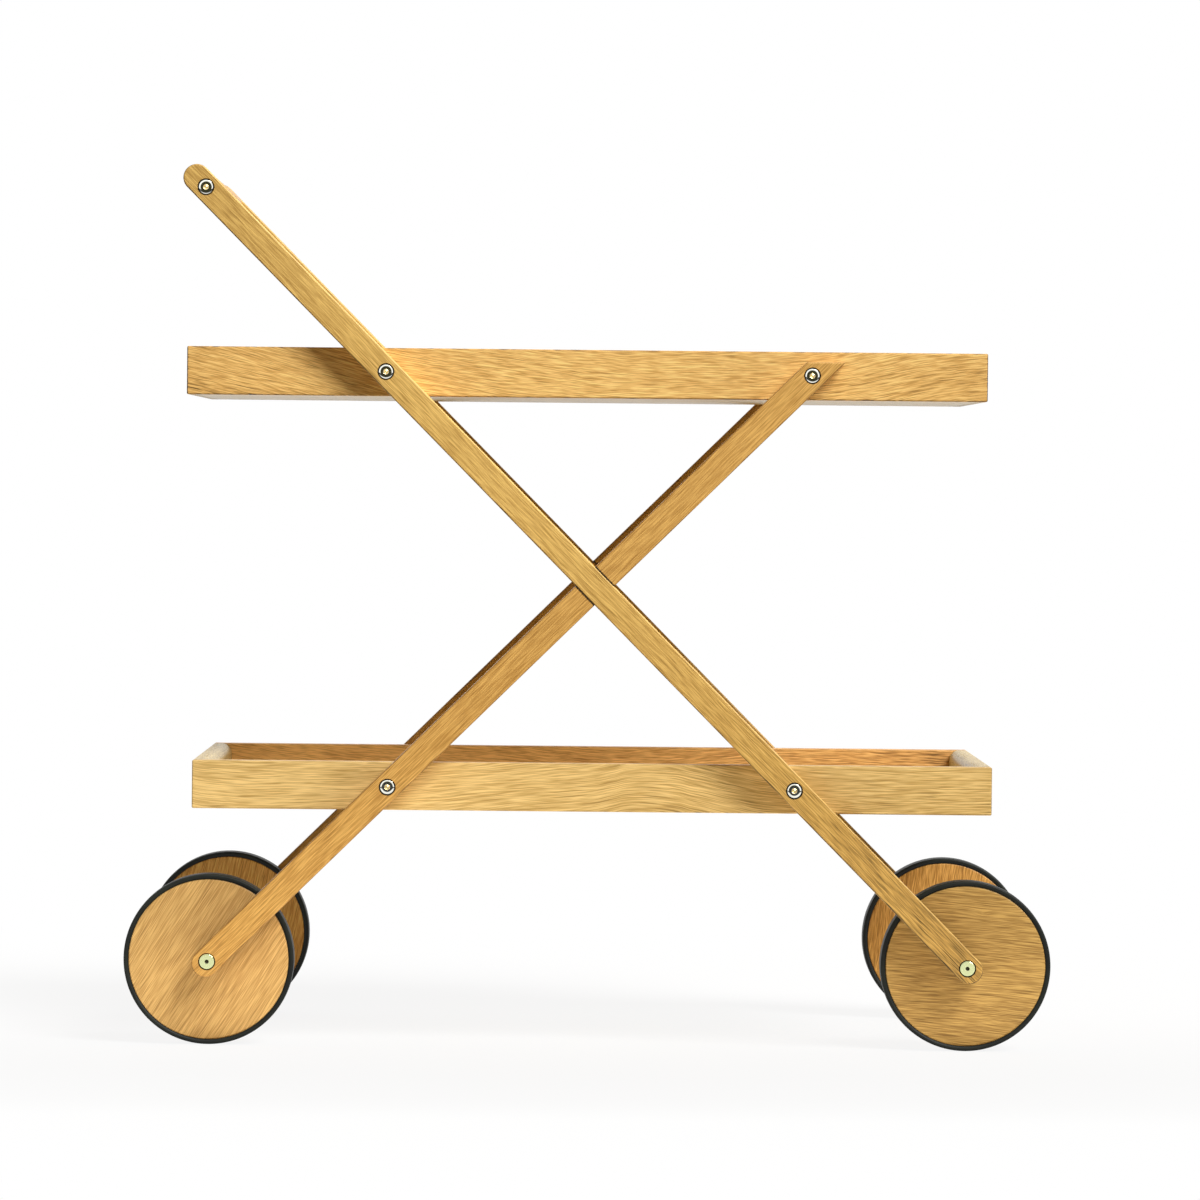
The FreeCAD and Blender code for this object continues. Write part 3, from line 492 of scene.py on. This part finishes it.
# The trays' boards: two long oak boards with two short ones dowelled between them, the
# short ones rounded over inside. The upper near board's grain dips in the middle of the
# board, and the lower one's is straight but for one arch right of the middle.
UPPER_OAK = {
    "light": (255, 212, 133),
    "dark": (217, 168, 93),
    "ring": 0.0042,
    "lay": math.radians(28),
    "wave": 0.0035,
    "wobble": 0.0006,
    "contrast": 1.0,
    "drift": -0.1,
    "bow": 1.3,
    "stretch": 2.0,
    # Painted shade on the edges.
    "edge_shade": 0.5,
}
LOWER_OAK = {
    "light": (229, 196, 129),
    "dark": (194, 158, 91),
    "ring": 0.0046,
    "lay": math.radians(18),
    "wave": 0.003,
    "wobble": 0.0003,
    "contrast": 1.0,
    "drift": 0.25,
    "bow": -0.3,
    "stretch": 3.2,
}
# The lower tray's far board: the same oak drawn more orange and a little darker than the near board, and
# darker towards its right end: painted shade.
FAR_BOARD_SHADED_OAK = {
    "light": (242, 192, 121),
    "dark": (196, 145, 83),
    "ring": 0.0046,
    "lay": math.radians(24),
    "wave": 0.003,
    "wobble": 0.0006,
    "contrast": 0.9,
    "drift": 0.9,
    "stretch": 2.0,
}
# The short end boards' oak is greener and greyer than the long boards': painted sheen, standing for the
# white room's reflection on their tops at a grazing angle.
END_SHEEN_OAK = {
    "light": (206, 184, 124),
    "dark": (176, 150, 92),
    "ring": 0.0046,
    "lay": math.radians(24),
    "wave": 0.003,
    "wobble": 0.0006,
    "contrast": 0.8,
    "stretch": 1.6,
    "gloss": 0.5,
    "shine": 0.35,
}
UPPER_NEAR_RISE = (
    (-386, 0),
    (-330, -12),
    (-280, -24),
    (-230, -37),
    (-180, -49),
    (-120, -58),
    (-60, -65),
    (0, -70),
    (80, -74),
    (160, -74),
    (220, -70),
    (280, -61),
    (330, -52),
    (386, -45),
)
UPPER_FAR_RISE = ((-386, 30), (-200, 8), (0, 0), (150, 6), (386, 26))
LOWER_NEAR_RISE = (
    (-386, 0),
    (-330, -4),
    (-260, -4),
    (-200, -2),
    (-100, 6),
    (0, 15),
    (22, 19),
    (45, 22),
    (64, 21.5),
    (97, 16),
    (135, 8),
    (185, 1),
    (250, -2),
    (386, -1),
)
LOWER_FAR_RISE = ((-386, 44), (-250, 28), (-100, 14), (60, 6), (200, 14), (386, 10))
BOARDS = {
    "upper_tray_near_board": (UPPER_OAK, "x", UPPER_NEAR_RISE),
    "upper_tray_far_board": (UPPER_OAK, "x", UPPER_FAR_RISE),
    "upper_tray_left_end": (END_SHEEN_OAK, "y", ()),
    "upper_tray_right_end": (END_SHEEN_OAK, "y", ()),
    "lower_tray_near_board": (LOWER_OAK, "x", LOWER_NEAR_RISE),
    "lower_tray_far_board": (FAR_BOARD_SHADED_OAK, "x", LOWER_FAR_RISE),
    "lower_tray_left_end": (END_SHEEN_OAK, "y", ()),
    "lower_tray_right_end": (END_SHEEN_OAK, "y", ()),
}

for number, (node, (look, along, rise)) in enumerate(BOARDS.items()):
    low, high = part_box(node)
    length, thickness, height = (high - low) / 2
    section = (length, thickness, height) if along == "x" else (thickness, length, height)
    dress(
        node,
        oak(
            f"{node}_oak",
            node,
            seed=(11.0 + number, 3.5, 6.0 + number),
            along=along,
            rise=rise,
            section=section,
            seams=(-thickness, thickness) if along == "y" else (),
            **look,
        ),
    )


# The trays' bottoms: 6 mm boards with a pale oak veneer on both faces, let into rebates
# and flush with the boards' lower edges.
# The veneer's pale, greenish tone is partly the veneer's own and partly painted sheen: the white room's
# reflection on the undersides at a grazing angle.
VENEER_AND_SHEEN_OAK = {
    "light": (227, 206, 150),
    "dark": (198, 173, 112),
    "gloss": 0.5,
    "shine": 0.30,
    "ring": 0.006,
    "lay": math.radians(62),
    "wave": 0.006,
    "wobble": 0.0008,
    "contrast": 0.9,
}

for number, tray in enumerate(("upper_tray", "lower_tray")):
    node = f"{tray}_bottom"
    dress(node, oak(f"{tray}_veneer", node, seed=(31.0 + number, 3.5, 14.0), **VENEER_AND_SHEEN_OAK))


# The wheels: solid oak discs, each sawn from its own plank, so that the grain runs a
# different way on each one.
WHEELS = {
    "near_left": {
        "slope": math.radians(-57),
        "light": (210, 171, 106),
        "dark": (180, 139, 79),
        "contrast": 0.9,
        "wave": 0.003,
        "wobble": 0.0002,
        "broad": 0.08,
        "fine": 1.2,
        "stretch": 2.8,
        "seed": (2.0, 5.5, 6.0),
    },
    "near_right": {
        "slope": math.radians(4),
        "light": (191, 154, 87),
        "dark": (153, 117, 60),
        "contrast": 1.05,
        "wave": 0.004,
        "wobble": 0.0003,
        "broad": 0.12,
        "stretch": 2.6,
        "seed": (5.0, 8.5, 6.0),
        "knots": (((0.013, 0, 0.052), 0.004, 0.004),),
    },
    # The far wheels' colours are set for their look in the shade behind the near wheels, not as the near
    # wheels' oak: the far left one is drawn lighter, painted light, and the far right one more orange,
    # painted shade.
    "far_left": {
        "slope": math.radians(-78),
        "light": (255, 208, 130),
        "dark": (218, 164, 92),
        "stretch": 1.8,
        "seed": (8.0, 11.5, 6.0),
    },
    "far_right": {
        "slope": math.radians(-83),
        "light": (211, 160, 86),
        "dark": (165, 116, 53),
        "stretch": 1.8,
        "seed": (13.0, 16.5, 6.0),
    },
}
DISC_OAK = {"lay": math.radians(15), "ring": 0.0042}

for wheel, look in WHEELS.items():
    node = f"wheel_{wheel}"
    dress(node, oak(f"wheel_oak_{wheel}", node, **DISC_OAK, **look))


# The tyres: dark rubber bands stretched over the discs, moulded with rounded shoulders,
# a shallow line near each edge and a faint crown.
TYRE_DARK = (10, 12, 9)
TYRE_WORN = (25, 29, 22)
TYRE_TURNS = 288
SHOULDER_STEPS = 9
TREAD_STEPS = 61
BORE_STEPS = 5
DISC_RADIUS = 0.0775
SHOULDER_RADIUS = 0.0016
LINE_DEPTH = 0.00035
LINE_INSET = 0.0030
LINE_HALF_WIDTH = 0.0005
CROWN_DROP = 0.0003
RUBBER_CLOUDS = 30.0
RUBBER_GRAIN = 1800.0
RUBBER_LEVELS = (0.35, 0.75)
RUBBER_GLOSS = 0.25
RUBBER_ROUGHNESS = 0.46
RUBBER_UNEVEN = 0.16
RUBBER_STRENGTH = 0.2
RUBBER_DEPTH = 0.0001


def ring_mesh(name, radius, side, centre):
    """A closed ring round the y axis through a centre. Each row of the closed profile gives
    a radius and a place along y, and each column is the angle a: the point is centre +
    (radius cos a, side, radius sin a)."""
    rows = len(radius)
    angles = np.linspace(0, 2 * np.pi, TYRE_TURNS, endpoint=False)
    row, turn = np.meshgrid(np.arange(rows), np.arange(TYRE_TURNS), indexing="ij")
    points = np.stack(
        [
            centre[0] + radius[row] * np.cos(angles[turn]),
            centre[1] + side[row],
            centre[2] + radius[row] * np.sin(angles[turn]),
        ],
        axis=-1,
    ).reshape(-1, 3)
    next_row = (row + 1) % rows
    next_turn = (turn + 1) % TYRE_TURNS
    faces = np.stack(
        [
            row * TYRE_TURNS + turn,
            next_row * TYRE_TURNS + turn,
            next_row * TYRE_TURNS + next_turn,
            row * TYRE_TURNS + next_turn,
        ],
        axis=-1,
    ).reshape(-1, 4)
    mesh = bpy.data.meshes.new(name)
    mesh.from_pydata(points.tolist(), [], faces.tolist())
    mesh.polygons.foreach_set("use_smooth", np.ones(len(faces), bool))
    piece = bpy.data.objects.new(name, mesh)
    bpy.context.scene.collection.objects.link(piece)
    return piece


def tyre_profile(half_width, outer):
    """Half widths and radii round the tyre's section: straight bore, quarter-round
    shoulders, and a tread that falls with the square of the distance from its middle and
    has two shallow half-cosine lines."""
    quarter = np.linspace(0, np.pi / 2, SHOULDER_STEPS)
    reach = np.linspace(-1, 1, TREAD_STEPS) * (half_width - SHOULDER_RADIUS)
    line = np.abs(np.abs(reach) - (half_width - LINE_INSET)) / LINE_HALF_WIDTH
    groove = np.where(line < 1, LINE_DEPTH * (1 + np.cos(np.pi * line)) / 2, 0)
    tread = outer - CROWN_DROP * (reach / half_width) ** 2 - groove
    edge = tread[0]
    left_side = -half_width + SHOULDER_RADIUS * (1 - np.sin(quarter))
    left_radius = edge - SHOULDER_RADIUS * (1 - np.cos(quarter))
    bore = np.linspace(half_width, -half_width, BORE_STEPS)
    bore_radius = np.full(BORE_STEPS, DISC_RADIUS)
    side = np.concatenate([bore, left_side[::-1][:-1], reach, -left_side[1:]])
    radius = np.concatenate([bore_radius, left_radius[::-1][:-1], tread, left_radius[1:]])
    return side, radius


def rubber(name):
    """Dark rubber: a slow noise mixes two greys, and a fine noise grains the surface."""
    material, tree, shader, add = blank(name)
    place = add("ShaderNodeTexCoord", out="Object")
    slow = add("ShaderNodeTexNoise", {"Vector": place, "Scale": RUBBER_CLOUDS, "Detail": 4.0})
    fine = add("ShaderNodeTexNoise", {"Vector": place, "Scale": RUBBER_GRAIN, "Detail": 2.0})
    colour = shade_by(tree, slow, tuple(zip(RUBBER_LEVELS, (TYRE_DARK, TYRE_WORN))))
    tree.links.new(colour, shader.inputs["Base Color"])
    shader.inputs["Specular IOR Level"].default_value = RUBBER_GLOSS
    rough = add("ShaderNodeMath", {0: slow, 1: RUBBER_UNEVEN, 2: RUBBER_ROUGHNESS}, operation="MULTIPLY_ADD")
    tree.links.new(rough, shader.inputs["Roughness"])
    bump = add("ShaderNodeBump", {"Height": fine, "Strength": RUBBER_STRENGTH, "Distance": RUBBER_DEPTH})
    tree.links.new(bump, shader.inputs["Normal"])
    return material


tyre_rubber = rubber("tyre_rubber")
for wheel in WHEELS:
    node = f"tyre_{wheel}"
    low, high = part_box(node)
    side, radius = tyre_profile((high.y - low.y) / 2, (high.x - low.x) / 2)
    piece = ring_mesh(f"moulded_{node}", radius, side, (low + high) / 2)
    piece.data.materials.append(tyre_rubber)
    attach(piece, f"{wheel}_wheel")
    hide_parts(node)


# The bolts: button-head screws of yellow-passivated zinc with a hexagon socket, sunk in
# round seats in the bars' outer faces.
BOLT_METAL = (255, 255, 244)
BOLT_SOCKET_METAL = (246, 230, 190)
HEAD_RADIUS = 7.0 * MM
HEAD_HEIGHT = 4.4 * MM
HEAD_FLAT = 4.4 * MM
HEAD_CROWN = 6.75 * MM
DOME_RADIUS = 7.0 * MM
SOCKET_HALF = 2.2 * MM
SOCKET_DEPTH = 2.8 * MM
SHANK_RADIUS = 4.0 * MM
SHANK_LENGTH = 34.2 * MM
SEAT_PLACE = 228.7 * MM
SOCKET_ROUND = 0.15 * MM
MOUTH_ROUND = 0.15 * MM
MOUTH_DROP = 0.2 * MM
MOUTH_FLARE = 0.08 * MM
MOUTH_HEXAGON = 0.8
MOUTH_EDGE = 0.06 * MM
RIM_BEVEL = 0.02 * MM
POINT_BEVEL = 0.7 * MM
SHOULDER_FALL = 1.3
FOOT_SHARE = 0.15
CONE_RADIUS = 0.45
CONE_DEPTH = 0.3
CONE_TIP = 0.26
DOME_STEPS = 17
SCREW_TURNS = 96
SOCKET_ROWS = 5
SHARP_ANGLE = math.radians(40)
METAL_CLOUDS = 260.0
METAL_GRAIN = 2600.0
METAL_SHADE = 0.94
METAL_LEVELS = (0.3, 0.7)
METAL_UNEVEN = 0.1
SCRATCH_STRENGTH = 0.08
SCRATCH_DEPTH = 0.00005
BOLT_ROUGHNESS = 0.03
BOLT_SOCKET_ROUGHNESS = 0.16


def screw_rows(head, height, flat, crown, dome, socket, depth, shank, length, dome_steps):
    """The rows of a screw's surface from the bottom of its socket to the point: each is a
    place along the axis, a radius, and how far the row is hexagonal. The socket's floor is
    a drilled cone. From the flat, the head falls along an arc: radius = flat + dome sin a,
    place = height - dome (1 - cos a), up to the crown, where sin a is (crown - flat) /
    dome, and from there down a steep shoulder to the head's full radius."""
    a = np.linspace(0, math.asin((crown - flat) / dome), dome_steps)
    rim = height - dome * (1 - math.cos(a[-1])) - SHOULDER_FALL * (head - crown)
    mouth = socket * 2 / math.sqrt(3) + MOUTH_ROUND
    rows = [
        (height - depth - CONE_DEPTH * socket, CONE_RADIUS * socket, 1),
        (height - depth, socket - SOCKET_ROUND, 1),
        (height - depth + SOCKET_ROUND, socket, 1),
        (height - SOCKET_ROUND - MOUTH_DROP, socket, 1),
        (height - SOCKET_ROUND, socket + MOUTH_FLARE, MOUTH_HEXAGON),
        (height, mouth, 0),
        (height, mouth + MOUTH_EDGE, 0),
        (height, flat - MOUTH_EDGE, 0),
        *zip(height - dome * (1 - np.cos(a)), flat + dome * np.sin(a), np.zeros(dome_steps)),
        (rim, head - RIM_BEVEL, 0),
        (rim * FOOT_SHARE, head, 0),
        (0, head - rim * FOOT_SHARE, 0),
        (0, shank, 0),
        (-length + POINT_BEVEL, shank, 0),
        (-length, shank - POINT_BEVEL, 0),
    ]
    return np.array(rows)


def screws(name, rows, places, cone, metals):
    """Closed screws along y. A column's angle is a, and the hexagon's radius there is half
    its flats / cos(((a + 30) mod 60) - 30), mixed with the round radius by the row's share.
    A place is (x, y of the seat, z, +1 or -1 for the way that the head points), the cone is
    the last fall of the socket's drilled floor, and the second metal is the socket's."""
    angles = np.linspace(0, 2 * np.pi, SCREW_TURNS, endpoint=False)
    sixth = np.pi / 3
    corner = 1 / np.cos((angles + sixth / 2) % sixth - sixth / 2)
    along, radius, share = rows.T
    stretch = 1 + share[:, None] * (corner[None, :] - 1)
    ring = radius[:, None] * stretch
    count = len(rows)
    row, turn = np.meshgrid(np.arange(count - 1), np.arange(SCREW_TURNS), indexing="ij")
    next_turn = (turn + 1) % SCREW_TURNS
    quads = np.stack(
        [
            row * SCREW_TURNS + turn,
            (row + 1) * SCREW_TURNS + turn,
            (row + 1) * SCREW_TURNS + next_turn,
            row * SCREW_TURNS + next_turn,
        ],
        axis=-1,
    ).reshape(-1, 4)
    start, end = count * SCREW_TURNS, count * SCREW_TURNS + 1
    turns = np.arange(SCREW_TURNS)
    following = (turns + 1) % SCREW_TURNS
    last = (count - 1) * SCREW_TURNS
    bottom = np.stack([np.full(SCREW_TURNS, start), turns, following], axis=-1)
    tip = np.stack([np.full(SCREW_TURNS, end), last + following, last + turns], axis=-1)
    pole_faces = np.repeat([True, False], SCREW_TURNS)
    inside = np.concatenate([row.ravel() < SOCKET_ROWS, pole_faces])
    points, faces = [], []
    for number, (x, y, z, way) in enumerate(places):
        grid = np.stack(
            [
                x + ring * np.cos(angles),
                y + way * along[:, None] * np.ones(SCREW_TURNS),
                z + ring * np.sin(angles),
            ],
            axis=-1,
        ).reshape(-1, 3)
        poles = np.array([[x, y + way * (along[0] - cone), z], [x, y + way * along[-1], z]])
        points.append(np.concatenate([grid, poles]))
        shift = number * (end + 1)
        for part in (quads, bottom, tip):
            wound = part if way < 0 else part[:, ::-1]
            faces.extend((wound + shift).tolist())
    mesh = bpy.data.meshes.new(name)
    mesh.from_pydata(np.concatenate(points).tolist(), [], faces)
    mesh.polygons.foreach_set("use_smooth", np.ones(len(faces), bool))
    mesh.polygons.foreach_set("material_index", np.tile(inside, len(places)).astype(np.int32))
    mesh.set_sharp_from_angle(angle=SHARP_ANGLE)
    for item in metals:
        mesh.materials.append(item)
    piece = bpy.data.objects.new(name, mesh)
    bpy.context.scene.collection.objects.link(piece)
    return piece


def metal(name, colour, roughness):
    """Plated steel: its colour and its roughness vary a little with a slow noise, and fine
    scratches from a finer one lift the surface."""
    material, tree, shader, add = blank(name)
    shader.inputs["Metallic"].default_value = 1.0
    place = add("ShaderNodeTexCoord", out="Object")
    slow = add("ShaderNodeTexNoise", {"Vector": place, "Scale": METAL_CLOUDS, "Detail": 2.0})
    fine = add("ShaderNodeTexNoise", {"Vector": place, "Scale": METAL_GRAIN, "Detail": 2.0})
    shaded = tuple(METAL_SHADE * channel for channel in colour)
    tinted = shade_by(tree, slow, tuple(zip(METAL_LEVELS, (shaded, colour))))
    tree.links.new(tinted, shader.inputs["Base Color"])
    rough = add("ShaderNodeMath", {0: slow, 1: METAL_UNEVEN, 2: roughness}, operation="MULTIPLY_ADD")
    tree.links.new(rough, shader.inputs["Roughness"])
    bump = add("ShaderNodeBump", {"Height": fine, "Strength": SCRATCH_STRENGTH, "Distance": SCRATCH_DEPTH})
    tree.links.new(bump, shader.inputs["Normal"])
    return material


bolt_metals = (
    metal("bolt_zinc", BOLT_METAL, BOLT_ROUGHNESS),
    metal("bolt_socket_zinc", BOLT_SOCKET_METAL, BOLT_SOCKET_ROUGHNESS),
)
bolt_rows = screw_rows(
    HEAD_RADIUS,
    HEAD_HEIGHT,
    HEAD_FLAT,
    HEAD_CROWN,
    DOME_RADIUS,
    SOCKET_HALF,
    SOCKET_DEPTH,
    SHANK_RADIUS,
    SHANK_LENGTH,
    DOME_STEPS,
)
for node in ("upper_tray_bolts", "lower_tray_bolts", "handle_bolts"):
    low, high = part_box(node)
    columns = sorted({round(low.x + HEAD_RADIUS, 5), round(high.x - HEAD_RADIUS, 5)})
    height = (low.z + high.z) / 2
    places = [(x, way * SEAT_PLACE, height, way) for x in columns for way in (-1, 1)]
    piece = screws(f"button_head_{node}", bolt_rows, places, CONE_TIP * SOCKET_HALF, bolt_metals)
    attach(piece, "frame")
    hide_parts(node)


# The axles' cap bolts: flat bright heads with a bevelled rim and a small socket, screwed
# into the ends of the two axles.
CAP_METAL = (248, 255, 194)
# The caps' sockets are drawn in a dark metal: painted shade inside the socket.
CAP_SOCKET_SHADE_METAL = (96, 92, 70)
CAP_RADIUS = 7.45 * MM
CAP_HEIGHT = 3.4 * MM
CAP_FLAT = 6.5 * MM
CAP_CROWN = 7.3 * MM
CAP_ROUND = 1.0 * MM
CAP_SOCKET_HALF = 1.6 * MM
CAP_SOCKET_DEPTH = 2.2 * MM
CAP_SHANK_RADIUS = 3.0 * MM
CAP_SHANK_LENGTH = 12.5 * MM
CAP_SEAT_PLACE = 229.7 * MM
CAP_ROUND_STEPS = 9
CAP_ROUGHNESS = 0.08
CAP_SOCKET_ROUGHNESS = 0.4

cap_metals = (
    metal("cap_zinc", CAP_METAL, CAP_ROUGHNESS),
    metal("cap_socket_shade", CAP_SOCKET_SHADE_METAL, CAP_SOCKET_ROUGHNESS),
)
cap_rows = screw_rows(
    CAP_RADIUS,
    CAP_HEIGHT,
    CAP_FLAT,
    CAP_CROWN,
    CAP_ROUND,
    CAP_SOCKET_HALF,
    CAP_SOCKET_DEPTH,
    CAP_SHANK_RADIUS,
    CAP_SHANK_LENGTH,
    CAP_ROUND_STEPS,
)
low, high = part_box("axle_cap_bolts")
columns = (low.x + CAP_RADIUS, high.x - CAP_RADIUS)
height = (low.z + high.z) / 2
places = [(x, way * CAP_SEAT_PLACE, height, way) for x in columns for way in (-1, 1)]
piece = screws("flat_head_axle_cap_bolts", cap_rows, places, CONE_TIP * CAP_SOCKET_HALF, cap_metals)
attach(piece, "frame")
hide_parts("axle_cap_bolts")


# The axles and what they carry: drawn steel rods with bright zinc spacers, washers and
# retaining rings.
ROD_METAL = (176, 178, 180)
ROD_ROUGHNESS = 0.28
PLAIN_METAL = (196, 198, 200)
PLAIN_ROUGHNESS = 0.24

rod_metal = metal("rod_steel", ROD_METAL, ROD_ROUGHNESS)
plain_metal = metal("plain_zinc", PLAIN_METAL, PLAIN_ROUGHNESS)
for node in ("axle_left", "axle_right"):
    dress(node, rod_metal)
for node in ("axle_spacers", "axle_washers", "axle_retaining_rings"):
    dress(node, plain_metal)


# The hidden fasteners: threaded inserts that the bolts screw into, and the screws that
# hold the trays' bottoms.
for tray in ("upper_tray", "lower_tray"):
    dress(f"{tray}_inserts", plain_metal)
    dress(f"{tray}_bottom_screws", plain_metal)
dress("handle_inserts", plain_metal)


# The dowels: plain turned beech pegs, glued into the trays' corners to hold the short
# boards between the long ones.
BEECH = {"light": (222, 186, 140), "dark": (186, 142, 96), "ring": 0.002, "contrast": 0.6}

for number, tray in enumerate(("upper_tray", "lower_tray")):
    node = f"{tray}_dowels"
    dress(node, oak(f"{tray}_beech", node, seed=(41.0 + number, 2.0, 9.0), along="y", **BEECH))


# The bushes: sleeves turned from natural nylon and pressed into the discs, so that the
# wheels turn on the steel rods.
NYLON_LIGHT = (222, 216, 198)
NYLON_DARK = (196, 188, 166)
NYLON_CLOUDS = 160.0
NYLON_LEVELS = (0.3, 0.7)
NYLON_ROUGHNESS = 0.35
NYLON_UNEVEN = 0.2

material, tree, shader, add = blank("bush_nylon")
place = add("ShaderNodeTexCoord", out="Object")
cloud = add("ShaderNodeTexNoise", {"Vector": place, "Scale": NYLON_CLOUDS, "Detail": 3.0})
colour = shade_by(tree, cloud, tuple(zip(NYLON_LEVELS, (NYLON_LIGHT, NYLON_DARK))))
tree.links.new(colour, shader.inputs["Base Color"])
rough = add("ShaderNodeMath", {0: cloud, 1: NYLON_UNEVEN, 2: NYLON_ROUGHNESS}, operation="MULTIPLY_ADD")
tree.links.new(rough, shader.inputs["Roughness"])
for wheel in WHEELS:
    dress(f"bush_{wheel}", material)


# The studio: a pale floor that fades into a white room, a broad key lamp above and to the
# right of the camera with a thin scrim before its lowest part, a faint low lamp, and a
# room that is dark round the camera and bright elsewhere.
FLOOR_RADIUS = 9.0
FLOOR_TURNS = 64
FLOOR_ROUGHNESS = 0.9
FLOOR_SEEN = (0.8, 0.8, 0.8, 1)
FLOOR_UNSEEN = (0.60, 0.50, 0.34, 1)
FLOOR_DARK = (0, 0, 0, 1)
UNSEEN_START = 0.3
UNSEEN_END = 1.0
FADE_START = 0.5
FADE_END = 1.5
FADE_LEVEL = 0.88
DARK_START = -2.6
DARK_END = -1.7
KEY_WAY = Vector((0.84, -1.0, 1.2))
KEY_STRENGTH = 4.25
KEY_ANGLE = math.radians(28)
LOW_LENGTH = 1.5
LOW_DEPTH = 0.4
LOW_PLACE = (0, -0.42, 0.004)
LOW_WATTS = 3.0
LOW_COLOUR = (1.0, 0.97, 0.9)
SCRIM_PLACE = -1.0
SCRIM_CORNERS = ((-1.2, 0.2), (2.4, 0.2), (2.4, 1.12), (-1.2, 1.12))
SCRIM_PASSES = (0.5, 0.5, 0.5, 1)
WHITE = (1, 1, 1, 1)
FRONT_LIGHT = (0.12, 0.07, 0.02, 1)
BACK_LIGHT = (0.8, 0.8, 0.8, 1)
LIGHT_START = -0.1
LIGHT_END = 0.7
FRONT_GLOSS = (0.045, 0.042, 0.018, 1)
BACK_GLOSS = (1.1, 1.1, 1.1, 1)
GLOSS_START = -0.975
GLOSS_END = -0.94


def blend(add, share, first, second):
    """The first colour at a share of 0 and the second at 1."""
    return add("ShaderNodeMix", {"Factor": share, 6: first, 7: second}, out=2, data_type="RGBA")


key_data = bpy.data.lights.new("key", "SUN")
key_data.energy = KEY_STRENGTH
key_data.angle = KEY_ANGLE
key = bpy.data.objects.new("key", key_data)
key.rotation_euler = KEY_WAY.to_track_quat("Z", "Y").to_euler()
bpy.context.scene.collection.objects.link(key)

low_data = bpy.data.lights.new("low_lamp", "AREA")
low_data.shape = "RECTANGLE"
low_data.size = LOW_LENGTH
low_data.size_y = LOW_DEPTH
low_data.energy = LOW_WATTS
low_data.color = LOW_COLOUR
low_lamp = bpy.data.objects.new("low_lamp", low_data)
low_lamp.location = LOW_PLACE
low_lamp.rotation_euler = (math.pi, 0, 0)
low_lamp.visible_camera = False
low_lamp.visible_glossy = False
bpy.context.scene.collection.objects.link(low_lamp)

scrim_mesh = bpy.data.meshes.new("scrim")
scrim_mesh.from_pydata([(x, SCRIM_PLACE, z) for x, z in SCRIM_CORNERS], [], [(0, 1, 2, 3)])
scrim = bpy.data.objects.new("scrim", scrim_mesh)
bpy.context.scene.collection.objects.link(scrim)
scrim_cloth, scrim_tree, _, add = blank("scrim_cloth")
passing = add("ShaderNodeLightPath", out="Is Shadow Ray")
see_through = add("ShaderNodeBsdfTransparent", {"Color": blend(add, passing, WHITE, SCRIM_PASSES)})
scrim_tree.links.new(see_through, scrim_tree.nodes["Material Output"].inputs["Surface"])
scrim_mesh.materials.append(scrim_cloth)

turns = np.linspace(0, 2 * np.pi, FLOOR_TURNS + 1)[:-1]
rim = np.stack([FLOOR_RADIUS * np.cos(turns), FLOOR_RADIUS * np.sin(turns), np.zeros(FLOOR_TURNS)], 1)
floor_mesh = bpy.data.meshes.new("floor")
floor_mesh.from_pydata(rim.tolist(), [], [list(range(FLOOR_TURNS))])
floor = bpy.data.objects.new("floor", floor_mesh)
bpy.context.scene.collection.objects.link(floor)

floor_material, floor_tree, floor_shader, add = blank("floor_white")
floor_shader.inputs["Roughness"].default_value = FLOOR_ROUGHNESS
floor_shader.inputs["Specular IOR Level"].default_value = 0.0
seen = add("ShaderNodeLightPath", out="Is Camera Ray")
glossy = add("ShaderNodeLightPath", out="Is Glossy Ray")
looked_at = add("ShaderNodeMath", {0: seen, 1: glossy}, operation="MAXIMUM")
place = add("ShaderNodeTexCoord", out="Object")
distance = add("ShaderNodeVectorMath", {0: place}, out="Value", operation="LENGTH")
lighting = blend(add, fade(add, distance, UNSEEN_START, UNSEEN_END), FLOOR_UNSEEN, FLOOR_DARK)
grey = blend(add, looked_at, lighting, FLOOR_SEEN)
floor_tree.links.new(grey, floor_shader.inputs["Base Color"])
paling = fade(add, distance, FADE_START, FADE_END, FADE_LEVEL, 1.0)
share = add("ShaderNodeMath", {0: looked_at, 1: paling}, operation="MULTIPLY")
forward = add("ShaderNodeSeparateXYZ", {0: place}, out="Y")
near_camera = fade(add, forward, DARK_START, DARK_END, FRONT_GLOSS[0], 1.0)
mirrored = add("ShaderNodeMix", {"Factor": seen, 2: near_camera, 3: 1.0})
white = add("ShaderNodeEmission", {"Strength": mirrored})
mixed = add("ShaderNodeMixShader", {0: share, 1: floor_shader.outputs[0], 2: white})
floor_tree.links.new(mixed, floor_tree.nodes["Material Output"].inputs["Surface"])
floor_mesh.materials.append(floor_material)

world = bpy.data.worlds.new("room")
bpy.context.scene.world = world
world.use_nodes = True
room = world.node_tree
add = wiring(room)
direction = add("ShaderNodeTexCoord", out="Generated")
away = add("ShaderNodeSeparateXYZ", {0: direction}, out="Y")
matte_light = blend(add, fade(add, away, LIGHT_START, LIGHT_END), FRONT_LIGHT, BACK_LIGHT)
gloss_light = blend(add, fade(add, away, GLOSS_START, GLOSS_END), FRONT_GLOSS, BACK_GLOSS)
glossy = add("ShaderNodeLightPath", out="Is Glossy Ray")
seen = add("ShaderNodeLightPath", out="Is Camera Ray")
shown = blend(add, seen, blend(add, glossy, matte_light, gloss_light), WHITE)
room.links.new(shown, room.nodes["Background"].inputs["Color"])

bpy.context.scene.view_settings.view_transform = "Standard"
